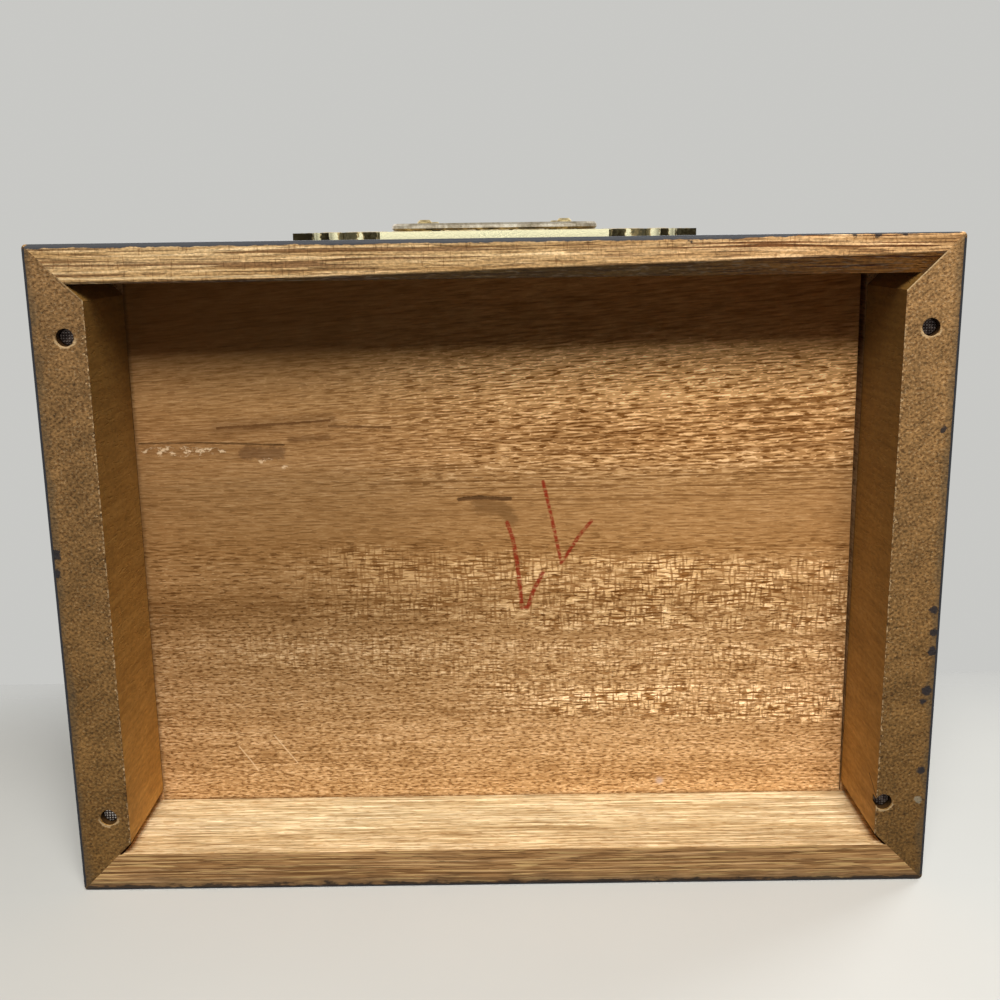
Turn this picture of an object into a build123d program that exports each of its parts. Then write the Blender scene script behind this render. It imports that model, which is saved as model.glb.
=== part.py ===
from build123d import *
import math
import os

# Jewelry chest: a lacquered hardwood case on a mitred plinth, with two
# drawers, a lined compartment under a hinged lid with a mirror, and brass
# drop-bail pulls. X runs to the right seen from the front, the front faces
# -Y and Z is up. The origin is on the surface that the chest stands on, at
# the centre of its full width and of its full depth with the pulls.

# Case, outer sizes and walls
case_width = 250.0
case_depth = 188.4
side_thickness = 15.0
front_thickness = 10.5
back_thickness = 11.2
edge_ease = 0.5
corner_round = 1.2

# Heights, from the floor up
plinth_height = 35.0
bottom_thickness = 8.0
drawer_opening = 51.0
divider_thickness = 6.0
floor_thickness = 6.0
compartment_depth = 32.0
lid_gap = 0.5
lid_rail_height = 15.0
lid_panel_thickness = 7.0

# Tapered bevel planed on the inner arris of the plinth's front rail
bevel_length = 220.0
bevel_width = 5.8
bevel_rise = 3.3

# Gap at the right end of the bottom board, which was cut out of square
board_gap_front = 2.0
board_gap_back = 0.4

# Nails that hold the plinth to the case, in counterbored holes
nail_head_diameter = 4.1
nail_head_thickness = 0.9
nail_shank_diameter = 1.8
nail_length = 50.0
nail_hole_diameter = 4.9
nail_hole_depth = 3.4
nail_clearance = 0.05
nail_point_length = 2.7
nail_point_width = 0.4
nail_hole_overrun = 1.0
# Each nail: side of the case, end of the case, inset from that side, inset from that end
nail_places = [
    (-1, -1, 9.3, 24.6),
    (1, -1, 7.9, 24.9),
    (1, 1, 12.8, 25.0),
    (-1, 1, 9.1, 23.2),
]

# Sides of the small shafts inside the wood, and of their holes
shaft_sides = 12

# Joints of the case
housing_depth = 4.0
housing_stop = 12.0
back_rebate = 6.0

# Lid stop: the rear arrises are bevelled and meet when the lid is open
stop_angle = 50.0
stop_clearance = 0.2
pin_inset = 3.5

# Hinges
hinge_length = 30.0
hinge_inset = 50.0
hinge_pin_diameter = 2.0
knuckle_diameter = 4.0
outer_knuckle_length = 9.0
knuckle_gap = 0.2
leaf_thickness = 1.0
leaf_reach = 6.4
leaf_fit = 0.1
pin_press_clearance = 0.01
pin_running_clearance = 0.06
recess_clearance = 0.3
screw_head_diameter = 3.2
screw_shank_diameter = 1.8
screw_length = 10.0
screw_spacing = 18.0
screw_inset = 4.2
screw_fit = 0.05
screw_slot_width = 0.5
screw_slot_depth = 0.4

# Mirror in the lid and the beads that hold it
mirror_thickness = 2.0
mirror_gap = 0.3
bead_width = 5.0
bead_height = 5.0
bead_round = 3.0

# Drawers
drawer_side_gap = 0.5
drawer_rise = 0.3
drawer_top_gap = 0.7
drawer_rear_gap = 0.4
drawer_wall = 6.0
drawer_side_height = 42.0
drawer_rebate = 5.5
drawer_bottom_thickness = 3.0
drawer_bottom_rise = 5.0
drawer_groove = 3.0
lining_thickness = 1.5
lining_gap = 0.3

# Compartment under the lid
partition_thickness = 4.0
partition_height = 24.0
roll_zone_width = 70.0
roll_count = 10
roll_rise = 13.0
roll_valley = 6.5
roll_side_gap = 0.5
roll_end_round = 5.0
roll_end_gap = 0.5

# Pull: back plate, seen face on
plate_half_width = 64.6
plate_half_height = 20.0
plate_straight_half = 34.8
plate_crest_half = 12.0
plate_crest_rise = 2.4
plate_crest_bulge = 0.6
# Each notch between two lobes: in from the tip, off the plate's middle line
plate_notches = [(26.6, 15.2), (17.4, 11.2), (12.4, 7.0), (7.1, 3.4)]
# How far each arc from the straight edge to the tip bulges out, or in where negative
plate_bulges = [-1.3, 2.6, 1.9, 1.6, -0.7]
plate_thickness = 2.2

# Pull: posts and bail
post_spacing = 45.0
post_rise = 4.0
post_head_diameter = 4.7
post_head_bevel = 0.7
post_stem_diameter = 3.0
post_stem_clearance = 0.1
post_tail = 1.2
nut_across_flats = 5.5
nut_thickness = 2.4
nut_clearance = 0.1
bail_bar_width = 2.1
bail_bar_sides = 8
bail_half_width = 32.0
bail_drop = 21.0
bail_neck = 12.0
bail_corner_radius = 9.0
bail_elbow_radius = 1.6
bail_rest_gap = 0.3
bail_pin_diameter = 1.6
bail_pin_clearance = 0.07
bail_pin_overhang = 1.6

# Worked out from the sizes above
inner_width = case_width - 2 * side_thickness
bail_plane = plate_thickness + bail_rest_gap + bail_bar_width / 2
front_reach = bail_plane + post_head_diameter / 2
mid_y = front_reach / 2
y_front = mid_y - case_depth / 2
y_back = mid_y + case_depth / 2
y_inner_front = y_front + front_thickness
y_inner_back = y_back - back_thickness
z_lower_bay = plinth_height + bottom_thickness
z_divider = z_lower_bay + drawer_opening
z_upper_bay = z_divider + divider_thickness
z_floor = z_upper_bay + drawer_opening
z_compartment = z_floor + floor_thickness
z_case_top = z_compartment + compartment_depth
z_pin = z_case_top + lid_gap / 2
z_lid_bottom = z_case_top + lid_gap
z_lid_panel = z_lid_bottom + lid_rail_height
z_top = z_lid_panel + lid_panel_thickness
y_pin = y_back - pin_inset
low_corner = (Align.MIN, Align.MIN, Align.MIN)
margin = 5.0

# Which side of the hinge pin a piece or a cut is on: down in the case or up in the lid
down = -1
up = 1


def block(x_low, x_high, y_low, y_high, z_low, z_high):
    """A square-edged board between two corners."""
    board = Box(x_high - x_low, y_high - y_low, z_high - z_low, align=low_corner)
    return Pos(x_low, y_low, z_low) * board


def mitred_rail(length, thickness, height, run_start, run_end):
    """A rail lying along X with its outer face on Y = 0, cut back at each end by its mitre."""
    outline = Polyline(
        (-length / 2, 0),
        (length / 2, 0),
        (length / 2 - run_end, thickness),
        (-length / 2 + run_start, thickness),
        close=True,
    )
    return extrude(make_face(outline), height)


def rounded_corners(board):
    """What is left of a board after the upright corners of the whole chest are rounded."""
    outline = RectangleRounded(case_width, case_depth, corner_round)
    return board & (Pos(0, mid_y, 0) * extrude(outline, z_top))


def shaft(diameter, length):
    """A small upright shaft, or what is cut for one, with its foot at the origin."""
    return extrude(RegularPolygon(diameter / 2, shaft_sides), length)


def shaft_along_y(diameter, y_low, y_high, x_place, z_place):
    """A small shaft that runs from front to back."""
    return Pos(x_place, y_low, z_place) * Rot(-90, 0, 0) * shaft(diameter, y_high - y_low)


def rod_along_x(diameter, x_low, x_high, y_place, z_place):
    """A round rod that runs from left to right."""
    rod = Cylinder(diameter / 2, x_high - x_low, align=(Align.CENTER, Align.CENTER, Align.MIN))
    return Pos(x_low, y_place, z_place) * Rot(0, 90, 0) * rod


# Plinth: four rails mitred at 45 degrees and nailed up into the case

def nail_spots():
    """Centre of each nail in plan."""
    spots = []
    for side, end, side_inset, end_inset in nail_places:
        x_spot = side * (case_width / 2 - side_inset)
        y_spot = mid_y + end * (case_depth / 2 - end_inset)
        spots.append((x_spot, y_spot))
    return spots


def nail_hole(x_spot, y_spot):
    """A counterbored hole, open at the underside."""
    bottom_up = (Align.CENTER, Align.CENTER, Align.MIN)
    mouth = Cylinder(nail_hole_diameter / 2, nail_hole_depth + margin, align=bottom_up)
    depth = nail_hole_depth + nail_length + nail_hole_overrun
    room = shaft(nail_shank_diameter + 2 * nail_clearance, depth)
    return Pos(x_spot, y_spot, -margin) * mouth + Pos(x_spot, y_spot, 0) * room


def nail(x_spot, y_spot):
    """A wire nail, head down, with a four-sided point."""
    bottom_up = (Align.CENTER, Align.CENTER, Align.MIN)
    head = Cylinder(nail_head_diameter / 2, nail_head_thickness, align=bottom_up)
    shank = shaft(nail_shank_diameter, nail_length)
    wide = Pos(0, 0, nail_length - nail_point_length) * Rectangle(nail_shank_diameter, nail_shank_diameter)
    tip = Pos(0, 0, nail_length) * Rectangle(nail_point_width, nail_point_width)
    straight = Pos(0, 0, nail_length - nail_point_length) * Box(margin, margin, margin, align=bottom_up)
    body = head + shank - (straight - loft([wide, tip]))
    return Pos(x_spot, y_spot, nail_hole_depth - nail_head_thickness) * body


def front_bevel():
    """Everything beyond the sloping plane that was planed off the front rail's inner arris."""
    x_end = case_width / 2
    start = Vector(x_end - bevel_length, y_inner_front, 0)
    low_end = Vector(x_end, y_inner_front - bevel_width, 0)
    high_end = Vector(x_end, y_inner_front, bevel_rise)
    outward = (high_end - start).cross(low_end - start).normalized()
    if outward.Z > 0:
        outward = outward * -1
    slope = Plane(origin=start, x_dir=(low_end - start), z_dir=outward)
    return slope * Box(2 * case_width, case_depth, margin, align=(Align.CENTER, Align.CENTER, Align.MIN))


def plinth_rails():
    front = mitred_rail(case_width, front_thickness, plinth_height, front_thickness, front_thickness)
    front = Pos(0, y_front, 0) * front - front_bevel()
    back = mitred_rail(case_width, back_thickness, plinth_height, back_thickness, back_thickness)
    back = Pos(0, y_back, 0) * Rot(0, 0, 180) * back
    side = mitred_rail(case_depth, side_thickness, plinth_height, side_thickness, side_thickness)
    right = Pos(case_width / 2, mid_y, 0) * Rot(0, 0, 90) * side
    left = Pos(-case_width / 2, mid_y, 0) * Rot(0, 0, -90) * side
    for x_spot, y_spot in nail_spots():
        right -= nail_hole(x_spot, y_spot)
        left -= nail_hole(x_spot, y_spot)
    return [rounded_corners(rail) for rail in (front, back, left, right)]


# Case: bottom, front sill, sides, back, drawer divider, compartment floor and upper front wall

def stop_bevel(direction):
    """What is cut off behind the hinge pin, down on the case or up on the lid."""
    reach = pin_inset + 3 * margin
    cutter = Box(case_width + 2 * margin, 2 * reach, reach, align=(Align.CENTER, Align.CENTER, Align.MIN))
    if direction == up:
        cutter = Pos(0, 0, -reach) * cutter
    cutter = Pos(0, 0, direction * stop_clearance) * cutter
    return Pos(0, y_pin, z_pin) * Rot(direction * stop_angle, 0, 0) * cutter


def hinge_centres():
    x_centre = case_width / 2 - hinge_inset
    return [-x_centre, x_centre]


def hinge_recesses(direction):
    """Room in the wood for the knuckles and one leaf of each hinge, down in the case or up in the lid."""
    recesses = []
    half = hinge_length / 2 + leaf_fit
    leaf_face = z_pin + direction * lid_gap / 2
    leaf_back = leaf_face + direction * leaf_thickness
    for x_centre in hinge_centres():
        room = knuckle_diameter + 2 * recess_clearance
        x_low = x_centre - half - recess_clearance
        x_high = x_centre + half + recess_clearance
        recesses.append(rod_along_x(room, x_low, x_high, y_pin, z_pin))
        recesses.append(
            block(
                x_centre - half,
                x_centre + half,
                y_pin - leaf_reach,
                y_pin,
                min(leaf_face - direction * margin, leaf_back),
                max(leaf_face - direction * margin, leaf_back),
            )
        )
    return recesses


def screw_spots():
    """Centre of each hinge screw in plan, the same for the case and the lid."""
    y_spot = y_pin - screw_inset
    return [
        (x_centre + side * screw_spacing / 2, y_spot)
        for x_centre in hinge_centres()
        for side in (-1, 1)
    ]


def screw(direction, growth=0.0):
    """A countersunk screw at the origin, its head flush with Z = 0 and its shank going that way."""
    head = screw_head_diameter / 2 + growth
    shank = screw_shank_diameter / 2 + growth
    top = RegularPolygon(head, shaft_sides)
    foot = Pos(0, 0, leaf_thickness) * RegularPolygon(shank, shaft_sides)
    body = loft([top, foot], ruled=True) + shaft(2 * shank, screw_length + growth)
    if growth == 0.0:
        bottom_up = (Align.CENTER, Align.CENTER, Align.MIN)
        body -= Box(2 * head, screw_slot_width, screw_slot_depth, align=bottom_up)
    return body if direction == up else Rot(180, 0, 0) * body


def screws(direction, growth=0.0):
    z_face = z_pin + direction * lid_gap / 2
    return [Pos(x_spot, y_spot, z_face) * screw(direction, growth) for x_spot, y_spot in screw_spots()]


def cut(board, cutters):
    for cutter in cutters:
        board -= cutter
    return board


def case_boards():
    half = case_width / 2
    half_inner = inner_width / 2
    board_outline = Polyline(
        (-half_inner, y_inner_front),
        (half_inner - board_gap_front, y_inner_front),
        (half_inner - board_gap_back, y_inner_back),
        (-half_inner, y_inner_back),
        close=True,
    )
    bottom = Pos(0, 0, plinth_height) * extrude(make_face(board_outline), bottom_thickness)
    sill = block(-half_inner, half_inner, y_front, y_inner_front, plinth_height, z_lower_bay)

    right = block(half_inner, half, y_front, y_back, plinth_height, z_case_top)
    x_housing = half_inner + housing_depth
    right -= block(half_inner, x_housing, y_front + housing_stop, y_inner_back, z_divider, z_upper_bay)
    right -= block(half_inner, x_housing, y_inner_front, y_inner_back, z_floor, z_compartment)
    right -= block(half_inner, half_inner + back_rebate, y_inner_back, y_back, plinth_height, z_case_top)
    right = rounded_corners(right)
    left = mirror(right, about=Plane.YZ)
    right -= stop_bevel(down)
    left -= stop_bevel(down)
    for x_spot, y_spot in nail_spots():
        right -= nail_hole(x_spot, y_spot)
        left -= nail_hole(x_spot, y_spot)

    x_back = half_inner + back_rebate
    back = block(-x_back, x_back, y_inner_back, y_back, plinth_height, z_case_top)
    back -= stop_bevel(down)
    back = cut(back, hinge_recesses(down) + screws(down, screw_fit))

    divider = block(-half_inner, half_inner, y_front, y_inner_back, z_divider, z_upper_bay)
    divider += block(-x_housing, x_housing, y_front + housing_stop, y_inner_back, z_divider, z_upper_bay)
    floor = block(-x_housing, x_housing, y_inner_front, y_inner_back, z_floor, z_compartment)
    wall = block(-half_inner, half_inner, y_front, y_inner_front, z_floor, z_case_top)
    return bottom, sill, left, right, back, divider, floor, wall


# Compartment: lining, partitions and ring rolls

def compartment_fittings():
    half_inner = inner_width / 2
    z_lining = z_compartment + lining_thickness
    lining = block(
        -half_inner + lining_gap,
        half_inner - lining_gap,
        y_inner_front + lining_gap,
        y_inner_back - lining_gap,
        z_compartment,
        z_lining,
    )
    x_long = -half_inner + roll_zone_width
    z_partition = z_lining + partition_height
    long_partition = block(
        x_long,
        x_long + partition_thickness,
        y_inner_front + lining_gap,
        y_inner_back - lining_gap,
        z_lining,
        z_partition,
    )
    y_middle = (y_inner_front + y_inner_back) / 2
    cross_partition = block(
        x_long + partition_thickness,
        half_inner - lining_gap,
        y_middle - partition_thickness / 2,
        y_middle + partition_thickness / 2,
        z_lining,
        z_partition,
    )
    return lining, long_partition, cross_partition


def ring_rolls():
    """A padded insert of rolls side by side, with a channel between each two and its ends drawn in."""
    y_low = y_inner_front + roll_side_gap
    y_high = y_inner_back - roll_side_gap
    x_low = -inner_width / 2 + roll_end_gap
    x_high = -inner_width / 2 + roll_zone_width - roll_end_gap
    pitch = (y_high - y_low) / roll_count
    edges = []
    for index in range(roll_count):
        y_start = y_low + pitch * index
        crown = (y_start + pitch / 2, roll_rise)
        edges.append(ThreePointArc((y_start, roll_valley), crown, (y_start + pitch, roll_valley)).edge())
    edges += Polyline((y_high, roll_valley), (y_high, 0), (y_low, 0), (y_low, roll_valley)).edges()
    z_lining = z_compartment + lining_thickness
    seat = Plane(origin=(x_low, 0, z_lining), x_dir=(0, 1, 0), z_dir=(1, 0, 0))
    rolls = extrude(seat * make_face(Wire(edges)), x_high - x_low)
    room = block(x_low, x_high, y_low, y_high, z_lining, z_lining + roll_rise)
    room = fillet(room.edges().filter_by(Axis.Y).group_by(Axis.Z)[-1], roll_end_round)
    return (rolls & room).solid()


# Lid: mitred rails, a top panel, and a mirror held by beads

def lid_pieces():
    front = mitred_rail(case_width, front_thickness, lid_rail_height, side_thickness, side_thickness)
    front = Pos(0, y_front, z_lid_bottom) * front
    back = mitred_rail(case_width, back_thickness, lid_rail_height, side_thickness, side_thickness)
    back = Pos(0, y_back, z_lid_bottom) * Rot(0, 0, 180) * back
    back = cut(back, [stop_bevel(up)] + hinge_recesses(up) + screws(up, screw_fit))
    right = mitred_rail(case_depth, side_thickness, lid_rail_height, front_thickness, back_thickness)
    right = Pos(case_width / 2, mid_y, z_lid_bottom) * Rot(0, 0, 90) * right
    right -= stop_bevel(up)
    left = mirror(right, about=Plane.YZ)

    half = case_width / 2
    panel = block(-half, half, y_front, y_back, z_lid_panel, z_top)
    panel = fillet(panel.faces().sort_by(Axis.Z)[-1].edges(), lid_panel_thickness * 0.4)
    return [rounded_corners(piece) for piece in (panel, front, back, left, right)]


def lid_mirror():
    half = inner_width / 2 - mirror_gap
    glass = block(
        -half,
        half,
        y_inner_front + mirror_gap,
        y_inner_back - mirror_gap,
        z_lid_panel - mirror_thickness,
        z_lid_panel,
    )
    return chamfer(glass.faces().sort_by(Axis.Z)[0].edges(), mirror_thickness / 4)


def mirror_beads():
    """Four mitred strips with a rounded inner arris, under the edge of the glass."""
    z_bead = z_lid_panel - mirror_thickness - bead_height
    inner_depth = y_inner_back - y_inner_front
    middle = (y_inner_front + y_inner_back) / 2

    def bead(length):
        strip = mitred_rail(length, bead_width, bead_height, bead_width, bead_width)
        arris = [
            edge
            for edge in strip.edges()
            if abs(edge.center().Y - bead_width) < 0.01 and edge.center().Z < 0.01
        ]
        return fillet(arris, bead_round)

    front = Pos(0, y_inner_front, z_bead) * bead(inner_width)
    back = Pos(0, y_inner_back, z_bead) * Rot(0, 0, 180) * bead(inner_width)
    right = Pos(inner_width / 2, middle, z_bead) * Rot(0, 0, 90) * bead(inner_depth)
    left = Pos(-inner_width / 2, middle, z_bead) * Rot(0, 0, -90) * bead(inner_depth)
    return front, back, left, right


# Hinges

def hinge_leaf(x_centre, direction):
    """One leaf with its knuckles: the case leaf has the two outer ones, the lid leaf the middle one."""
    half = hinge_length / 2
    leaf_face = z_pin + direction * lid_gap / 2
    leaf_back = leaf_face + direction * leaf_thickness
    leaf = block(
        x_centre - half,
        x_centre + half,
        y_pin - leaf_reach + leaf_fit,
        y_pin,
        min(leaf_face, leaf_back),
        max(leaf_face, leaf_back),
    )
    outer = outer_knuckle_length
    outer_spans = [(x_centre - half, x_centre - half + outer), (x_centre + half - outer, x_centre + half)]
    middle_low = x_centre - half + outer + knuckle_gap
    middle_high = x_centre + half - outer - knuckle_gap
    middle_spans = [(middle_low, middle_high)]
    own_spans = outer_spans if direction == down else middle_spans
    other_spans = middle_spans if direction == down else outer_spans
    room = knuckle_diameter + 2 * recess_clearance
    for x_low, x_high in other_spans:
        leaf -= rod_along_x(room, x_low - knuckle_gap, x_high + knuckle_gap, y_pin, z_pin)
    for x_low, x_high in own_spans:
        leaf += rod_along_x(knuckle_diameter, x_low, x_high, y_pin, z_pin)
    clearance = pin_press_clearance if direction == down else pin_running_clearance
    bore = hinge_pin_diameter + 2 * clearance
    leaf -= rod_along_x(bore, x_centre - half - margin, x_centre + half + margin, y_pin, z_pin)
    return cut(leaf, screws(direction, screw_fit))


def hinge_pin(x_centre):
    half = hinge_length / 2
    return rod_along_x(hinge_pin_diameter, x_centre - half, x_centre + half, y_pin, z_pin)


# Drawers

def drawer_levels(z_bay):
    """Heights that every piece of one drawer shares."""
    z_low = z_bay + drawer_rise
    z_high = z_bay + drawer_opening - drawer_top_gap
    return z_low, z_high, (z_low + z_high) / 2


def post_spots(z_bay):
    z_post = drawer_levels(z_bay)[2] + post_rise
    return [(-post_spacing / 2, z_post), (post_spacing / 2, z_post)]


def drawer_boards(z_bay):
    z_low, z_high, _ = drawer_levels(z_bay)
    half = inner_width / 2 - drawer_side_gap
    inner_half = half - drawer_wall
    y_rear = y_inner_back - drawer_rear_gap
    z_side = z_low + drawer_side_height
    z_bottom = z_low + drawer_bottom_rise
    z_inside = z_bottom + drawer_bottom_thickness
    y_joint = y_inner_front - drawer_rebate
    groove_half = inner_half + drawer_groove
    y_groove = y_inner_front - drawer_groove

    front = block(-half, half, y_front, y_inner_front, z_low, z_high)
    front = chamfer(front.faces().sort_by(Axis.Y)[0].edges(), edge_ease)
    front -= block(inner_half, half, y_joint, y_inner_front, z_low, z_side)
    front -= block(-half, -inner_half, y_joint, y_inner_front, z_low, z_side)
    front -= block(-groove_half, groove_half, y_groove, y_inner_front, z_bottom, z_inside)
    stem_hole = post_stem_diameter + 2 * post_stem_clearance
    for x_post, z_post in post_spots(z_bay):
        front -= shaft_along_y(stem_hole, y_front - margin, y_inner_front + margin, x_post, z_post)

    right = block(inner_half, half, y_joint, y_rear, z_low, z_side)
    right -= block(inner_half, groove_half, y_joint, y_rear, z_bottom, z_inside)
    left = mirror(right, about=Plane.YZ)
    back = block(-inner_half, inner_half, y_rear - drawer_wall, y_rear, z_inside, z_side)
    bottom = block(-groove_half, groove_half, y_groove, y_rear, z_bottom, z_inside)
    lining = block(
        -inner_half + lining_gap,
        inner_half - lining_gap,
        y_inner_front + lining_gap,
        y_rear - drawer_wall - lining_gap,
        z_inside,
        z_inside + lining_thickness,
    )
    return front, left, right, back, bottom, lining


# Pulls

def lobe(start, end, bulge):
    """An arc from start to end that bulges to the right of its way by that much."""
    x_way = end[0] - start[0]
    y_way = end[1] - start[1]
    length = math.hypot(x_way, y_way)
    x_crown = (start[0] + end[0]) / 2 + bulge * y_way / length
    y_crown = (start[1] + end[1]) / 2 - bulge * x_way / length
    return ThreePointArc(start, (x_crown, y_crown), end)


def plate_face():
    """The lobed outline of the plate, seen face on."""
    shoulder = (plate_straight_half, -plate_half_height)
    notches = [(plate_half_width - x_in, -z_off) for x_in, z_off in plate_notches]
    lower = [shoulder] + notches + [(plate_half_width, 0)]
    upper = [(x_place, -z_place) for x_place, z_place in reversed(lower[:-1])]
    points = lower + upper
    bulges = plate_bulges + plate_bulges[::-1]
    arcs = [lobe(points[step], points[step + 1], bulge) for step, bulge in enumerate(bulges)]
    crest_foot = (plate_crest_half, plate_half_height)
    crest = (0, plate_half_height + plate_crest_rise)
    base = Line((0, -plate_half_height), shoulder)
    top = Line(points[-1], crest_foot)
    peak = lobe(crest_foot, crest, -plate_crest_bulge)
    right_half = [line.edge() for line in [base] + arcs + [top, peak]]
    left_half = [edge.mirror(Plane.YZ) for edge in right_half]
    return make_face(Wire(right_half + left_half))


def pull_plate(z_bay):
    z_middle = drawer_levels(z_bay)[2]
    plate = Pos(0, y_front, z_middle) * Rot(90, 0, 0) * extrude(plate_face(), plate_thickness)
    stem_hole = post_stem_diameter + 2 * post_stem_clearance
    for x_post, z_post in post_spots(z_bay):
        plate -= shaft_along_y(stem_hole, y_front - margin, y_front + margin, x_post, z_post)
    return plate


def pull_posts(z_bay):
    """Turned posts: a bevelled barrel with a cross hole, and a stem through the plate and the front."""
    posts = []
    y_axis = y_front - bail_plane
    y_seat = y_front - plate_thickness
    y_tail = y_inner_front + nut_thickness + post_tail
    head = post_head_diameter / 2
    y_face = y_axis - head
    profile = Polyline(
        (0, y_face),
        (head - post_head_bevel, y_face),
        (head, y_face + post_head_bevel),
        (head, y_seat),
        (0, y_seat),
        close=True,
    )
    turned = revolve(make_face(profile), axis=Axis.Y)
    bore = bail_pin_diameter + 2 * bail_pin_clearance
    for x_post, z_post in post_spots(z_bay):
        post = Pos(x_post, 0, z_post) * turned
        post += shaft_along_y(post_stem_diameter, y_seat, y_tail, x_post, z_post)
        posts.append(post - rod_along_x(bore, x_post - margin, x_post + margin, y_axis, z_post))
    return posts


def pull_nuts(z_bay):
    nuts = []
    for x_post, z_post in post_spots(z_bay):
        flats = RegularPolygon(nut_across_flats / 2, 6, major_radius=False)
        nut = extrude(flats, nut_thickness)
        nut -= shaft(post_stem_diameter + nut_clearance, nut_thickness)
        nuts.append(Pos(x_post, y_inner_front, z_post) * Rot(-90, 0, 0) * nut)
    return nuts


def bail(z_bay):
    """Swan-neck bail of eight-sided bar: pins through the posts, arms in an S and a straight grip."""
    y_axis = y_front - bail_plane
    z_axis = post_spots(z_bay)[0][1]
    post_outer = post_spacing / 2 + post_head_diameter / 2
    x_elbow = post_outer + bail_rest_gap
    x_arm = x_elbow + bail_elbow_radius
    x_wide = bail_half_width - bail_bar_width / 2
    shift = x_wide - x_arm
    fall = bail_neck - bail_elbow_radius
    turn = 2 * math.atan2(shift, fall)
    neck_radius = fall / (2 * math.sin(turn))
    elbow = CenterArc((x_elbow, -bail_elbow_radius), bail_elbow_radius, 90, -90)
    degrees = math.degrees(turn)
    outward = CenterArc((x_arm + neck_radius, -bail_elbow_radius), neck_radius, 180, degrees)
    inward = CenterArc((x_wide - neck_radius, -bail_neck), neck_radius, degrees, -degrees)
    z_straight = -bail_drop + bail_corner_radius
    side = Line((x_wide, -bail_neck), (x_wide, z_straight)) if bail_neck < -z_straight else None
    corner = CenterArc((x_wide - bail_corner_radius, z_straight), bail_corner_radius, 0, -90)
    grip = Line((x_wide - bail_corner_radius, -bail_drop), (0, -bail_drop))
    pieces = [elbow, outward, inward] + ([side] if side else []) + [corner, grip]
    route = Wire([piece.edge() for piece in pieces])
    start = Plane(origin=(x_elbow, 0, 0), x_dir=(0, 1, 0), z_dir=(1, 0, 0))
    bar = RegularPolygon(
        bail_bar_width / 2, bail_bar_sides, major_radius=False, rotation=180 / bail_bar_sides
    )
    arm = sweep(start * bar, path=route)
    pin_end = post_spacing / 2 - post_head_diameter / 2 - bail_pin_overhang
    pin = rod_along_x(bail_pin_diameter, pin_end, x_elbow, 0, 0)
    half_bail = arm + pin
    whole = half_bail + mirror(half_bail, about=Plane.YZ)
    return Pos(0, y_axis, z_axis) * Rot(90, 0, 0) * whole


# Writing the pieces

def save(name, pieces):
    """Write one node; a list is a group of separate solids."""
    solids = pieces if isinstance(pieces, list) else [pieces]
    shape = Compound(label=name, children=[solid for solid in solids]) if len(solids) > 1 else solids[0]
    shape.label = name
    export_step(shape, os.path.join("parts", name + ".step"))


def build():
    os.makedirs("parts", exist_ok=True)

    front, back, left, right = plinth_rails()
    save("plinth_front_rail", front)
    save("plinth_back_rail", back)
    save("plinth_left_rail", left)
    save("plinth_right_rail", right)
    save("plinth_nails", [nail(x_spot, y_spot) for x_spot, y_spot in nail_spots()])

    bottom, sill, left, right, back, divider, floor, wall = case_boards()
    save("bottom_board", bottom)
    save("front_sill", sill)
    save("left_side", left)
    save("right_side", right)
    save("back_board", back)
    save("drawer_divider", divider)
    save("compartment_floor", floor)
    save("upper_front_wall", wall)

    lining, long_partition, cross_partition = compartment_fittings()
    save("compartment_lining", lining)
    save("long_partition", long_partition)
    save("cross_partition", cross_partition)
    save("ring_rolls", ring_rolls())

    panel, front, back, left, right = lid_pieces()
    save("lid_panel", panel)
    save("lid_front_rail", front)
    save("lid_back_rail", back)
    save("lid_left_rail", left)
    save("lid_right_rail", right)
    save("lid_mirror", lid_mirror())
    for name, bead in zip(("front", "back", "left", "right"), mirror_beads()):
        save("mirror_" + name + "_bead", bead)

    for name, x_centre in zip(("left", "right"), hinge_centres()):
        save(name + "_hinge_case_leaf", hinge_leaf(x_centre, down))
        save(name + "_hinge_lid_leaf", hinge_leaf(x_centre, up))
        save(name + "_hinge_pin", hinge_pin(x_centre))
    save("case_hinge_screws", screws(down))
    save("lid_hinge_screws", screws(up))

    for name, z_bay in (("lower", z_lower_bay), ("upper", z_upper_bay)):
        front, left, right, back, bottom, lining = drawer_boards(z_bay)
        save(name + "_drawer_front", front)
        save(name + "_drawer_left_side", left)
        save(name + "_drawer_right_side", right)
        save(name + "_drawer_back", back)
        save(name + "_drawer_bottom", bottom)
        save(name + "_drawer_lining", lining)
        save(name + "_pull_plate", pull_plate(z_bay))
        save(name + "_pull_posts", pull_posts(z_bay))
        save(name + "_pull_nuts", pull_nuts(z_bay))
        save(name + "_bail", bail(z_bay))


build()
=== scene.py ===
import math

import bpy
import numpy as np
from bpy.props import FloatProperty, FloatVectorProperty, IntProperty, PointerProperty
from mathutils import Matrix, Quaternion, Vector


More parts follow.
